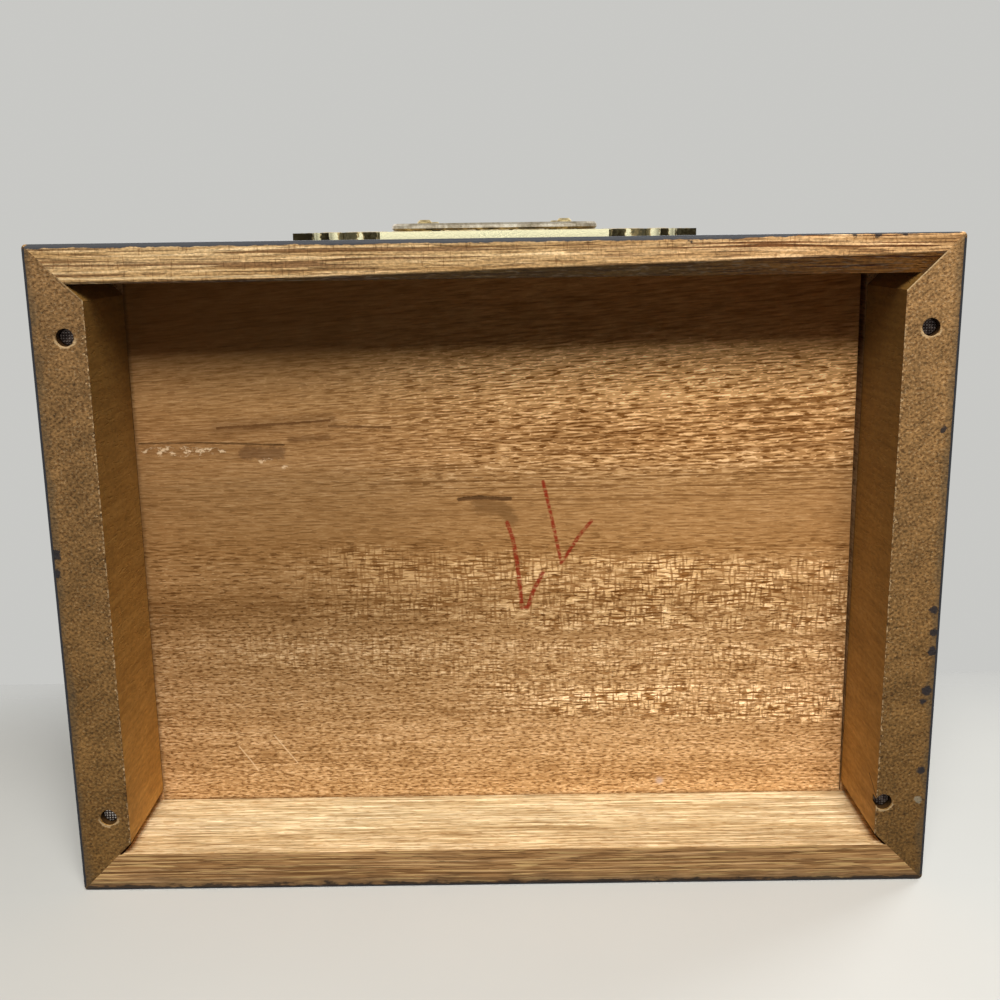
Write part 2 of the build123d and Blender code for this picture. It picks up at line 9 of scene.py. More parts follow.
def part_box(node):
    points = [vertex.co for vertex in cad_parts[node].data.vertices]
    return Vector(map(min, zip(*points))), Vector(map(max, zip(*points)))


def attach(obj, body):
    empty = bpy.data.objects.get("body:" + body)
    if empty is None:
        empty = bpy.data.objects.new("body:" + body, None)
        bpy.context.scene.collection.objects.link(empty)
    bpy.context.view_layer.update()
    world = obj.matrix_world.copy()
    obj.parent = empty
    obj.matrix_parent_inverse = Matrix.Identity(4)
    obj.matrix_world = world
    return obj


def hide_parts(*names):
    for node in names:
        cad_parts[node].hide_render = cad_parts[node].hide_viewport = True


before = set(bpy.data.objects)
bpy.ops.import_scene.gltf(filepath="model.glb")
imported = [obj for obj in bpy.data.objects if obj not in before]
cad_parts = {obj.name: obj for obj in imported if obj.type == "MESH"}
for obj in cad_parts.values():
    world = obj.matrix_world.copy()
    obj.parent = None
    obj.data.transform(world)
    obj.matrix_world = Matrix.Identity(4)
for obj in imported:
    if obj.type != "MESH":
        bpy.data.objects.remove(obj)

bl_info = {
    "name": "Jewelry Chest",
    "version": (1, 0, 0),
    "blender": (4, 5, 0),
    "location": "View3D > Sidebar > Chest",
    "description": "Woods, lacquer, brass, velvet and fine relief for a drawered jewelry chest",
    "category": "Object",
}

# Lengths are in millimetres, and in metres only where a comment or docstring says so
MM = 0.001
X, Y, Z = 0, 1, 2


def corners(node):
    """Lowest and highest corner of a CAD node, in millimetres."""
    low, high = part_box(node)
    return np.array(low) / MM, np.array(high) / MM


HALF_WIDTH = corners("plinth_front_rail")[1][X]
FRONT = corners("plinth_front_rail")[0][Y]
BACK = corners("plinth_back_rail")[1][Y]
TOP = corners("lid_panel")[1][Z]
MIDDLE = (FRONT + BACK) / 2
PANEL_FACE = corners("bottom_board")[0][Z]
INNER_HALF = corners("front_sill")[1][X]
INNER_FRONT = corners("front_sill")[1][Y]
INNER_BACK = corners("plinth_back_rail")[0][Y]
# How far out from the middle the edge of a back plate is described
PLATE_REACH = 65.0


# Sizes and colours that a user would change

def colour_property(name, description, colour):
    return FloatVectorProperty(
        name=name, description=description, subtype="COLOR", size=3, min=0, max=1, default=colour
    )


class ChestWood(bpy.types.PropertyGroup):
    golden: colour_property("Golden wood", "Planed face of the bottom board", (0.53, 0.300, 0.128))
    cream: colour_property("Cream wood", "Long grain of the front and back rails", (0.64, 0.42, 0.205))
    orange: colour_property("Orange wood", "Inner faces of the side rails", (0.42, 0.218, 0.053))
    pore: colour_property("Pores", "Open vessels, which hold dust and shade", (0.10, 0.045, 0.016))
    end_grain: colour_property("End grain", "Sawn ends of the side rails", (0.27, 0.152, 0.062))


class ChestLacquer(bpy.types.PropertyGroup):
    colour: colour_property("Lacquer", "Blue-black outside of the chest", (0.013, 0.014, 0.018))
    wear: FloatProperty(
        name="Wear", description="How far from an arris the lacquer is rubbed through",
        subtype="DISTANCE", unit="LENGTH", min=0, default=0.0011,
    )


class ChestBrass(bpy.types.PropertyGroup):
    bright: colour_property("Bright brass", "Rubbed edges of the pulls", (0.86, 0.68, 0.34))
    tarnish: colour_property("Tarnish", "Olive film in the hollows", (0.20, 0.17, 0.085))
    relief: FloatProperty(
        name="Relief", description="Height of the scrolls between the posts",
        subtype="DISTANCE", unit="LENGTH", min=0, default=0.001,
    )


class ChestVelvet(bpy.types.PropertyGroup):
    colour: colour_property("Velvet", "Lining of the drawers and the compartment", (0.24, 0.018, 0.035))
    rolls: IntProperty(name="Ring rolls", description="Rolls of the ring cushion", min=2, default=10)


class ChestStage(bpy.types.PropertyGroup):
    floor: colour_property("Floor", "Pale floor and backdrop", (0.58, 0.58, 0.56))
    key_power: FloatProperty(
        name="Key light", description="Soft light from the front side", unit="POWER", default=19.0,
    )
    fill_power: FloatProperty(
        name="Fill light", description="Weak light on the top and the back", unit="POWER", default=20.0,
    )
    daylight: FloatProperty(name="Daylight", description="Level of the light all round", default=0.05)
    lens: FloatProperty(
        name="Lens", description="Focal length in millimetres on a 36 mm sensor", default=42.48,
    )


# Shader nodes

class Value:
    """An output of a shader's node, which takes part in sums, differences and products."""
    # With this, a numpy number leaves the sum to the methods below
    __array_ufunc__ = None

    def __init__(self, shader, socket):
        self.shader = shader
        self.socket = socket

    def __add__(self, other):
        return self.shader.math("ADD", self, other)

    def __radd__(self, other):
        return self.shader.math("ADD", other, self)

    def __sub__(self, other):
        return self.shader.math("SUBTRACT", self, other)

    def __rsub__(self, other):
        return self.shader.math("SUBTRACT", other, self)

    def __mul__(self, other):
        """Product of two numbers, or of a colour and a factor for each of its channels."""
        if isinstance(other, tuple):
            return self.shader.vector("MULTIPLY", self, other)
        return self.shader.math("MULTIPLY", self, other)

    def __rmul__(self, other):
        return self.shader.math("MULTIPLY", other, self)

    def __abs__(self):
        return self.shader.math("ABSOLUTE", self)


class Shader:
    """Nodes of a new material, or of a world: each method adds one step and returns its output."""

    def __init__(self, owner):
        self.owner = bpy.data.materials.new(owner) if isinstance(owner, str) else owner
        self.owner.use_nodes = True
        self.tree = self.owner.node_tree
        self.tree.nodes.clear()
        coordinates = self.add("ShaderNodeTexCoord").outputs
        self.facing, self.around = (Value(self, coordinates[kind]) for kind in ("Normal", "Generated"))
        self.place = self.vector("SCALE", Value(self, coordinates["Object"]), scale=1 / MM)
        self.x, self.y, self.z = self.split(self.place)

    def add(self, kind, **settings):
        node = self.tree.nodes.new(kind)
        for key, value in settings.items():
            setattr(node, key, value)
        return node

    def plug(self, socket, value):
        """Link an output, or set a plain value, with alpha added to a colour."""
        if isinstance(value, Value):
            self.tree.links.new(value.socket, socket)
        elif socket.type == "RGBA" and len(value) == 3:
            socket.default_value = (*value, 1)
        else:
            socket.default_value = value

    def math(self, operation, a, b=0.0, clamp=False):
        node = self.add("ShaderNodeMath", operation=operation, use_clamp=clamp)
        for socket, value in zip(node.inputs, (a, b)):
            self.plug(socket, value)
        return Value(self, node.outputs[0])

    def least(self, a, b):
        return self.math("MINIMUM", a, b)

    def most(self, a, b):
        return self.math("MAXIMUM", a, b)

    def vector(self, operation, a, b=None, scale=None, out="Vector"):
        node = self.add("ShaderNodeVectorMath", operation=operation)
        self.plug(node.inputs[0], a)
        if b is not None:
            self.plug(node.inputs[1], b)
        if scale is not None:
            self.plug(node.inputs["Scale"], scale)
        return Value(self, node.outputs[out])

    def apart(self, a, b):
        return self.vector("LENGTH", self.vector("SUBTRACT", a, b), out="Value")

    def split(self, place):
        node = self.add("ShaderNodeSeparateXYZ")
        self.plug(node.inputs[0], place)
        return [Value(self, output) for output in node.outputs]

    def join(self, x, y, z):
        node = self.add("ShaderNodeCombineXYZ")
        for socket, value in zip(node.inputs, (x, y, z)):
            self.plug(socket, value)
        return Value(self, node.outputs[0])

    def noise(self, lengths, detail=2.0, rough=0.5, twist=0.0, place=None, out="Fac"):
        """Cloudy noise whose features have this length, or these along X, Y and Z."""
        steps = tuple(1 / length for length in np.broadcast_to(lengths, 3).tolist())
        node = self.add("ShaderNodeTexNoise")
        self.plug(node.inputs["Vector"], self.vector("MULTIPLY", place or self.place, steps))
        node.inputs["Scale"].default_value = 1.0
        node.inputs["Detail"].default_value = detail
        node.inputs["Roughness"].default_value = rough
        node.inputs["Distortion"].default_value = twist
        return Value(self, node.outputs[out])

    def step(self, value, low, high):
        """0 up to low, 1 from high, and smooth between them; high may be below low."""
        node = self.add("ShaderNodeMapRange", interpolation_type="SMOOTHSTEP")
        ends = (low, high, 0.0, 1.0) if low < high else (high, low, 1.0, 0.0)
        self.plug(node.inputs["Value"], value)
        for socket, end in zip(node.inputs[1:5], ends):
            self.plug(socket, end)
        return Value(self, node.outputs[0])

    def between(self, value, start, end, soft):
        """1 from start to end, fading over soft at both ends."""
        rise = self.step(value, start - soft, start + soft)
        fall = self.step(value, end + soft, end - soft)
        return rise * fall

    def line(self, value, low, high, start=0.0, end=1.0):
        """Straight map from low..high to start..end, held at the ends."""
        node = self.add("ShaderNodeMapRange", clamp=True)
        self.plug(node.inputs["Value"], value)
        for socket, number in zip(node.inputs[1:5], (low, high, start, end)):
            self.plug(socket, number)
        return Value(self, node.outputs[0])

    def ramp(self, value, stops):
        """Colour or grey level for a value, from stops along its range."""
        node = self.add("ShaderNodeValToRGB")
        elements = node.color_ramp.elements
        while len(elements) < len(stops):
            elements.new(0.5)
        for element, (spot, colour) in zip(elements, stops):
            element.position = spot
            element.color = (*np.broadcast_to(colour, 3), 1)
        self.plug(node.inputs["Fac"], value)
        return Value(self, node.outputs["Color"])

    def mix(self, share, a, b):
        node = self.add("ShaderNodeMix", data_type="RGBA")
        self.plug(node.inputs["Factor"], share)
        self.plug(node.inputs[6], a)
        self.plug(node.inputs[7], b)
        return Value(self, node.outputs[2])

    def coats(self, colour, *coats):
        """The colour under coats, one over the other, each with the share that it covers."""
        for share, coat in coats:
            colour = self.mix(share, colour, coat)
        return colour

    def flecks(self, lengths, low, high, **settings):
        """1 where noise lies past high, and 0 before low; high may be below low."""
        return self.step(self.noise(lengths, **settings), low, high)

    def strands(self, length, width, place, **settings):
        """Noise drawn out along X into crisp strands."""
        return self.noise((length, width, width), detail=0.5, rough=0.6, place=place, **settings)

    def tint(self, colour, level):
        """The colour times a grey level."""
        return self.vector("SCALE", colour, scale=level)

    def bump(self, height, depth):
        """Normal for a height from 0 to 1 that stands for this many millimetres."""
        node = self.add("ShaderNodeBump")
        self.plug(node.inputs["Height"], height)
        node.inputs["Distance"].default_value = depth * MM
        return Value(self, node.outputs[0])

    def stroke(self, points, place=None):
        """Distance from a run of straight strokes between points in the XY plane."""
        flat = self.vector("MULTIPLY", place or self.place, (1, 1, 0))
        nearest = None
        for start, end in zip(points, points[1:]):
            run = Vector((end[0] - start[0], end[1] - start[1], 0))
            offset = self.vector("SUBTRACT", flat, (*start, 0))
            share = self.vector("DOT_PRODUCT", offset, run / run.length_squared, out="Value")
            share = self.math("ADD", share, 0.0, clamp=True)
            foot = self.vector("SCALE", run, scale=share)
            gap = self.apart(offset, foot)
            nearest = gap if nearest is None else self.least(nearest, gap)
        return nearest

    def blend(self, share, under, over):
        """One surface over another, as far as the share."""
        node = self.add("ShaderNodeMixShader")
        self.plug(node.inputs[0], share)
        for shade, socket in zip((under, over), node.inputs[1:]):
            self.tree.links.new(shade.outputs[0], socket)
        return node

    def finish(self, shade, output="ShaderNodeOutputMaterial"):
        """Link the last surface to the output, and return what the nodes belong to."""
        self.tree.links.new(shade.outputs[0], self.add(output).inputs[0])
        return self.owner

    def surface(self, colour, roughness, normal=None, shine=0.5, **sockets):
        """A material with one Principled surface; shine is the strength of its gloss."""
        shade = self.add("ShaderNodeBsdfPrincipled")
        self.plug(shade.inputs["Base Color"], colour)
        self.plug(shade.inputs["Roughness"], roughness)
        self.plug(shade.inputs["Specular IOR Level"], shine)
        if normal is not None:
            self.plug(shade.inputs["Normal"], normal)
        for key, value in sockets.items():
            self.plug(shade.inputs[key.replace("_", " ")], value)
        return self.finish(shade)


def dress(nodes, material):
    """Give CAD nodes one material."""
    for name in nodes:
        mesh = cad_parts[name].data
        mesh.materials.clear()
        mesh.materials.append(material)


# Finishes

def wood_grain(
    s, wood, middle, grain, fibre=(24, 0.8), pore=(4.0, 0.55), depth=0.5, wander=1.6, place=None
):
    """Colour, height and place of bare wood: growth bands, fibres, and dark pores along the grain.

    The fibres and pores are stretched noise of the given length and width; depth is how far a pore
    darkens the wood, and wander how far the grain strays from its line."""
    def lengths(along, across):
        return tuple(along if axis == grain else across for axis in (X, Y, Z))

    place = place or s.place
    drift = s.noise(lengths(90, 22), detail=1.5, place=place, out="Color")
    sway = tuple(0.0 if axis == grain else wander for axis in (X, Y, Z))
    place = s.vector("ADD", place, s.vector("MULTIPLY", drift, sway))
    bands = s.noise(lengths(240, 8), detail=3, place=place)
    fibres = s.noise(lengths(*fibre), detail=1.5, rough=0.55, place=place)
    tone = bands * 0.4 + fibres * 0.6
    dark = [channel * level for channel, level in zip(middle, (0.62, 0.55, 0.46))]
    pale = [min(channel * level, 1) for channel, level in zip(middle, (1.3, 1.4, 1.6))]
    colour = s.ramp(tone, [(0.34, dark), (0.5, middle), (0.66, pale)])
    dashes = s.noise(lengths(*pore), detail=1.0, place=place)
    pores = s.step(dashes, 0.42, 0.34)
    colour = s.mix(pores * depth, colour, wood.pore)
    height = fibres * 0.5 - pores * 0.5
    return colour, height + 0.5, place


def outside(s):
    """Depth under the sides, front, back and top of the chest, and distance from its worn arrises."""
    side = HALF_WIDTH - abs(s.x)
    front = s.y - FRONT
    back = BACK - s.y
    top = TOP - s.z
    ends = s.least(front, back)
    depth = s.least(s.least(side, ends), top)
    arris = s.least(side + ends, s.least(side + top, ends + top))
    return depth, arris, front


def lacquered(s, chest, colour, roughness, height, lap=0.6, front_lap=None, shine=0.3):
    """Lacquer over the outside of the chest, rubbed through along its worn arrises.

    It laps round the lower edge of the plinth by lap millimetres, or by front_lap at the front, where
    the arris is rounded and so catches the light, and where a lighter film along it is a painted highlight."""
    depth, arris, front = outside(s)
    chips = s.noise(4, detail=5, rough=0.65)
    specks = s.noise(1.1, detail=3)
    wear = chest.chest_lacquer.wear / MM
    worn = arris - chips * (4.2 * wear)
    worn = s.step(worn, -0.35 * wear, -1.1 * wear) * s.step(specks, 0.3, 0.48)
    stretches = s.flecks(34, 0.46, 0.58, detail=3, rough=0.6)
    worn = worn * s.most(stretches, s.step(s.z, 4.0, 1.5))
    edge = depth + (chips - 0.5) * (1.8 * lap)
    coat = s.step(edge, lap + 0.12, lap - 0.12)
    if front_lap is not None:
        ragged = front - front_lap + (chips - 0.5) * 1.5
        coat = s.most(coat, s.step(ragged, 0.15, -0.15))
    coat = coat * (1.0 - worn)
    bare = 1.0 - coat
    haze = s.noise((40, 40, 25), detail=4, rough=0.6)
    peel = s.noise(1.6)
    scratches = s.flecks((0.35, 26, 26), 0.66, 0.72, twist=0.6)
    film = s.mix(s.step(haze, 0.45, 0.8), chest.chest_lacquer.colour, (0.025, 0.027, 0.033))
    film = s.mix(scratches * 0.35, film, (0.09, 0.095, 0.11))
    # Painted highlight: the film is lighter along the rounded front arris
    if front_lap is not None:
        rounded = s.step(front, 2.2, 0.3) * s.step(s.z, 3.0, 1.0)
        film = s.mix(rounded, film, (0.056, 0.058, 0.064))
    colour = s.mix(coat, colour, film)
    gloss = 0.15 + haze * 0.18
    rough = coat * gloss + bare * roughness
    relief = bare * (height * 0.16) + peel * 0.006
    if front_lap is not None:
        under = s.step(s.z, 2.0, 0.5)
        turn = s.math("MAXIMUM", 1.0 - front * 0.75, 0.0)
        relief = relief - turn * turn * (under * 0.5)
    return s.surface(colour, rough, s.bump(relief, 1.0), shine=shine)


def blots(s, spots):
    """1 inside ragged round spots, each given by X, distance in front of the middle and radius."""
    ragged = (s.noise(1.6, detail=4, rough=0.7) - 0.5) * 3.0
    total = None
    for x, far, radius in spots:
        gap = s.apart(s.place, (x, MIDDLE - far, 0)) + ragged
        share = s.step(gap, radius + 0.25, radius - 0.25)
        total = share if total is None else s.most(total, share)
    return total


def end_grain_colour(s, wood):
    """Sawn ends: speckled pores and slanting saw marks on a dull grey-brown."""
    mottle = s.noise(7, detail=5, rough=0.65)
    grit = s.noise((0.85, 0.85, 8), detail=1.0, rough=0.6)
    slant = s.x + s.y * 1.35
    saw = s.noise((1.2, 22, 22), detail=1, place=s.join(slant, s.y * 0.4, 0.0))
    level = 0.16 + mottle * 0.9 + (grit - 0.5) * 1.35 + (saw - 0.5) * 0.45
    colour = s.vector("SCALE", wood.end_grain, scale=level)
    vessels = s.noise((0.68, 0.68, 9.0), detail=0.5)
    pores = s.step(vessels, 0.38, 0.31)
    chalk = s.step(vessels, 0.64, 0.72)
    colour = s.coats(colour, (pores * 0.72, wood.pore), (chalk * 0.3, (0.42, 0.3, 0.18)))
    return colour, level - pores * 0.6


def nail_places():
    """Centre of each nail's head, in millimetres, and its radius, from the CAD node's own points."""
    low, _ = corners("plinth_nails")
    points = np.array([v.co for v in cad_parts["plinth_nails"].data.vertices]) / MM
    heads = points[points[:, Z] < low[Z] + 0.01]
    for side, end in ((-1, -1), (1, -1), (1, 1), (-1, 1)):
        own = heads[(heads[:, X] * side > 0) & ((heads[:, Y] - MIDDLE) * end > 0)]
        yield side, end, (own.min(axis=0) + own.max(axis=0)) / 2, (own[:, X].max() - own[:, X].min()) / 2


# Each operator dresses or makes one group of pieces

class CHEST_OT_dress_bottom_board(bpy.types.Operator):
    """Golden planed wood with ribbon figure, torn chips, a gouge and two pencil ticks"""
    bl_idname = "chest.dress_bottom_board"
    bl_label = "Dress bottom board"

    # Places on the board: X, and the distance from the middle towards the front
    crack = [(-109.0, 34.4), (-90.6, 34.5), (-65.0, 33.4)]
    chips = [(-106.6, 32.2), (-96.2, 31.9), (-84.0, 31.7)]
    smear = [(-77.0, 31.2), (-66.5, 31.0)]
    specks = [(-73.5, 27.9), (-66.5, 29.0), (-64.5, 26.2)]
    knot = [(-84.8, 39.0), (-77.5, 39.4), (-67.7, 39.9), (-50.7, 40.9)]
    knot_core = [(-76.5, 39.0), (-69.0, 39.2)]
    knot_tail = [(-63.1, 35.2), (-51.5, 35.7)]
    knot_end = [(-51.0, 39.2), (-32.5, 38.5)]
    gouge = [(-12.0, 15.8), (-6.0, 16.3), (3.7, 15.7)]
    gouge_shadow = [(-6.0, 14.2), (1.5, 12.5), (3.6, 9.6)]
    first_tick = [
        (2.7, 8.3), (4.3, 3.4), (5.6, -4.0), (7.1, -19.2), (8.9, -19.0), (10.6, -13.8), (13.7, -7.7),
    ]
    second_tick = [(13.9, 21.1), (16.6, 9.0), (19.4, -4.8), (25.3, 4.4), (28.7, 8.5)]
    scratches = [[(-84.5, -64.7), (-81.0, -69.6), (-78.8, -73.1)], [(-73.0, -61.0), (-66.0, -70.5)]]
    spot = (51.1, -78.5)
    # Tone from the front of the board to its back: share of the way, and a factor for each channel
    drift = [
        (0.0, (0.98, 0.92, 0.76)), (0.2, (1.22, 1.16, 1.04)), (0.27, (1.0, 0.93, 0.84)),
        (0.36, (0.73, 0.69, 0.62)), (0.5, (0.68, 0.61, 0.5)), (0.62, (0.68, 0.64, 0.57)),
        (0.74, (0.8, 0.77, 0.71)), (0.83, (0.92, 0.91, 0.88)), (1.0, (1.06, 1.08, 1.08)),
    ]
    # Painted light: level from the left end to the right, darker on the left and lighter on the right, as
    # light and sheen fall on the board
    across = [(0.0, 0.74), (0.28, 0.78), (0.52, 1.0), (0.78, 1.17), (1.0, 1.13)]

    def along(self, s, marks):
        return s.stroke([(x, MIDDLE - far) for x, far in marks])

    def execute(self, context):
        wood = context.scene.chest_wood
        s = Shader("golden_bottom_board")
        front = MIDDLE - s.y
        # Towards the front the grain climbs to the right
        slope = s.step(front, 12.0, 62.0) * 0.075
        place = s.join(s.x, s.y + s.x * slope, s.z)
        colour, height, place = wood_grain(
            s, wood, tuple(wood.golden), X, fibre=(10, 0.8), depth=0.0, place=place
        )
        sway = (s.noise((60, 10, 9), place=place) - 0.5) * 9.0
        level = front + sway
        left = s.step(s.x, 0.0, -70.0) * s.step(level, 0.0, 20.0)
        calm = s.most(s.between(level, 1.0, 20.0, 6.0), left)
        colour = s.mix(calm * 0.45, colour, wood.golden)
        tone = s.ramp(s.line(front + sway * 1.4, 80.0, -83.0), self.drift)
        colour = s.vector("MULTIPLY", colour, tone)
        # Painted light: the board is darkened on the left and lightened on the right, fully in its middle
        # rows and by half towards the front and back rails
        share = s.line(s.x + sway * 2.0, -INNER_HALF, INNER_HALF)
        sides = s.vector("MULTIPLY", colour, s.ramp(share, self.across))
        colour = s.mix(0.5 + s.between(front, -52.0, 56.0, 12.0) * 0.5, colour, sides)

        # Pores: dark dashes beside bright flecks, which are painted glints, long towards the front, short
        # and wavy at the back, and weak where the grain lies calm and in the band by the front rail, where
        # the flat look of its shadow is painted in
        long_dashes = s.noise((4.0, 0.5, 3), detail=0.5, place=place)
        short_dashes = s.noise((1.6, 0.5, 3), detail=0.5, twist=0.4, place=place)
        kind = s.step(front, -34.0, 6.0)
        dashes = long_dashes * kind + short_dashes * (1.0 - kind)
        bold = (1.0 - calm * 0.5) * (1.0 - s.step(front, 54.0, 66.0) * 0.65)
        upper = s.between(level, 24.0, 66.0, 6.0) * s.step(s.x, -75.0, 20.0)
        pores = s.step(dashes, 0.42, 0.37) * (bold * (0.78 + upper * 0.22))
        beside = s.vector("ADD", place, (7.3, 3.1, 0.0))
        painted_glints = s.flecks((1.5, 0.48, 3), 0.6, 0.68, detail=0.5, place=beside)
        flecks = s.most(s.step(dashes, 0.59, 0.66), painted_glints)
        flecks = flecks * (bold * (0.5 + upper * 0.5))
        lines = s.flecks((60, 0.75, 3), 0.42, 0.37, detail=0.5, place=place)
        lines = lines * (s.between(level, 12.0, 50.0, 7.0) * 0.75) * (0.35 + s.step(s.x, -60.0, 0.0) * 0.65)
        colour = s.mix(flecks, colour, colour * (1.72, 2.0, 2.45))
        colour = s.mix(s.most(pores, lines), colour, colour * (0.38, 0.29, 0.19))

        # Interlocked figure: bands of cells between short dark lines that cross each other, where the bright
        # cells are painted glints of the figure's sheen
        tilt = level + s.x * 0.035
        first = s.between(tilt, -25.0, -1.5, 2.5) * s.step(s.x, -78.0, -38.0)
        second = s.between(tilt, -41.5, -28.5, 2.0) * s.step(s.x, -112.0, -60.0)
        third = s.between(tilt, -55.5, -43.0, 1.2) * s.step(s.x, -30.0, 10.0)
        upright = s.flecks((0.85, 4.6, 3), 0.4, 0.5, detail=0.5, rough=0.6, place=place)
        level_lines = s.flecks((5.0, 0.62, 3), 0.41, 0.5, detail=0.5, rough=0.6, place=place)
        weave = (0.25 + upright * 0.75) * level_lines
        patches = s.flecks((15, 7, 9), 0.36, 0.6, detail=3, rough=0.6)
        patches = patches * (0.45 + s.step(s.x, -40.0, 60.0) * 0.55)
        figure = s.most(first, third) * (0.3 + patches * 0.7) + second * (0.35 + patches * 0.65) * 0.66
        lines_and_glints = s.mix(weave, colour * (0.6, 0.47, 0.32), colour * (2.05, 2.45, 3.05))
        colour = s.mix(figure, colour, lines_and_glints)

        # Torn chips along a crack, and a brown smear where they end
        jag = (s.noise((2.6, 2.0, 3.0), detail=4, rough=0.7) - 0.5) * 3.4
        crack = s.step(self.along(s, self.crack) + jag * 0.3, 0.45, 0.05)
        torn = s.step(self.along(s, self.chips) + jag * 1.5, 1.5, 0.7)
        pale = s.flecks((2.2, 1.4, 2), 0.5, 0.6, detail=3, rough=0.6)
        smear = s.step(self.along(s, self.smear) + jag * 1.4, 2.6, 1.2)
        white = s.step(self.along(s, self.specks) + jag * 1.6, 1.0, 0.2)
        colour = s.coats(
            colour, (torn * 0.45, (0.23, 0.11, 0.04)), (torn * pale * 0.75, (0.88, 0.66, 0.42)),
            (smear * 0.62, (0.13, 0.062, 0.028)), (white * pale * 0.7, (0.86, 0.62, 0.38)),
            (crack * 0.7, wood.pore),
        )

        # A small knot with dark lines running out of it
        thin = self.along(s, self.knot) + jag * 0.35
        core = s.least(self.along(s, self.knot_core), self.along(s, self.knot_tail)) + jag * 0.55
        tail = self.along(s, self.knot_end) + jag * 0.4
        knot = s.most(s.step(thin, 0.6, 0.2) * 0.85, s.step(core, 1.4, 0.2) * 0.6)
        knot = s.most(knot, s.step(tail, 0.65, 0.15) * 0.75)
        halo = s.step(self.along(s, self.knot) + jag, 3.6, 1.0) * 0.3
        colour = s.mix(s.most(knot, halo), colour, (0.13, 0.055, 0.018))

        # The gouge with a painted brown shadow below it, a pale dried drop and fine scratches
        gouge_shadow = s.step(self.along(s, self.gouge_shadow) + jag * 1.2, 3.4, 1.2)
        groove = s.step(self.along(s, self.gouge) + jag * 0.3, 0.85, 0.25)
        drop = s.apart(s.place, (self.spot[0], MIDDLE - self.spot[1], PANEL_FACE))
        drop = s.step(drop, 1.9, 0.4)
        scratch = s.least(*(self.along(s, marks) for marks in self.scratches))
        colour = s.coats(
            colour, (gouge_shadow * 0.68, (0.17, 0.082, 0.028)), (groove * 0.88, (0.085, 0.038, 0.014)),
            (drop * 0.55, (0.62, 0.5, 0.46)), (s.step(scratch, 0.32, 0.1) * 0.55, (0.9, 0.66, 0.4)),
        )

        # Two ticks in red pencil, which catch on the fibres
        grip = s.flecks((1.6, 0.9, 1), 0.38, 0.56, detail=1.5, rough=0.6)
        grip = 0.38 + grip * 0.52
        for points, width in ((self.first_tick, 0.66), (self.second_tick, 0.56)):
            mark = self.along(s, points) + jag * 0.12
            mark = s.step(mark, width + 0.25, width - 0.3) * grip
            colour = s.mix(mark, colour, (0.25, 0.02, 0.008))

        # Painted shade, darkening the corner where the board meets the rails
        rim = s.least(INNER_HALF - abs(s.x), s.least(s.y - INNER_FRONT, INNER_BACK - s.y))
        corner_shade = s.step(rim + jag * 0.5, 1.3, 0.0)
        colour = s.mix(corner_shade * 0.5, colour, wood.pore)

        height = height * 0.4 - s.most(crack, groove) * 1.6 - pores * 0.6
        height = height - torn * s.noise(1.2, detail=3) + figure * (weave * 0.35)
        dress(["bottom_board"], s.surface(colour, 0.6, s.bump(height, 0.12), shine=0.06))
        return {"FINISHED"}


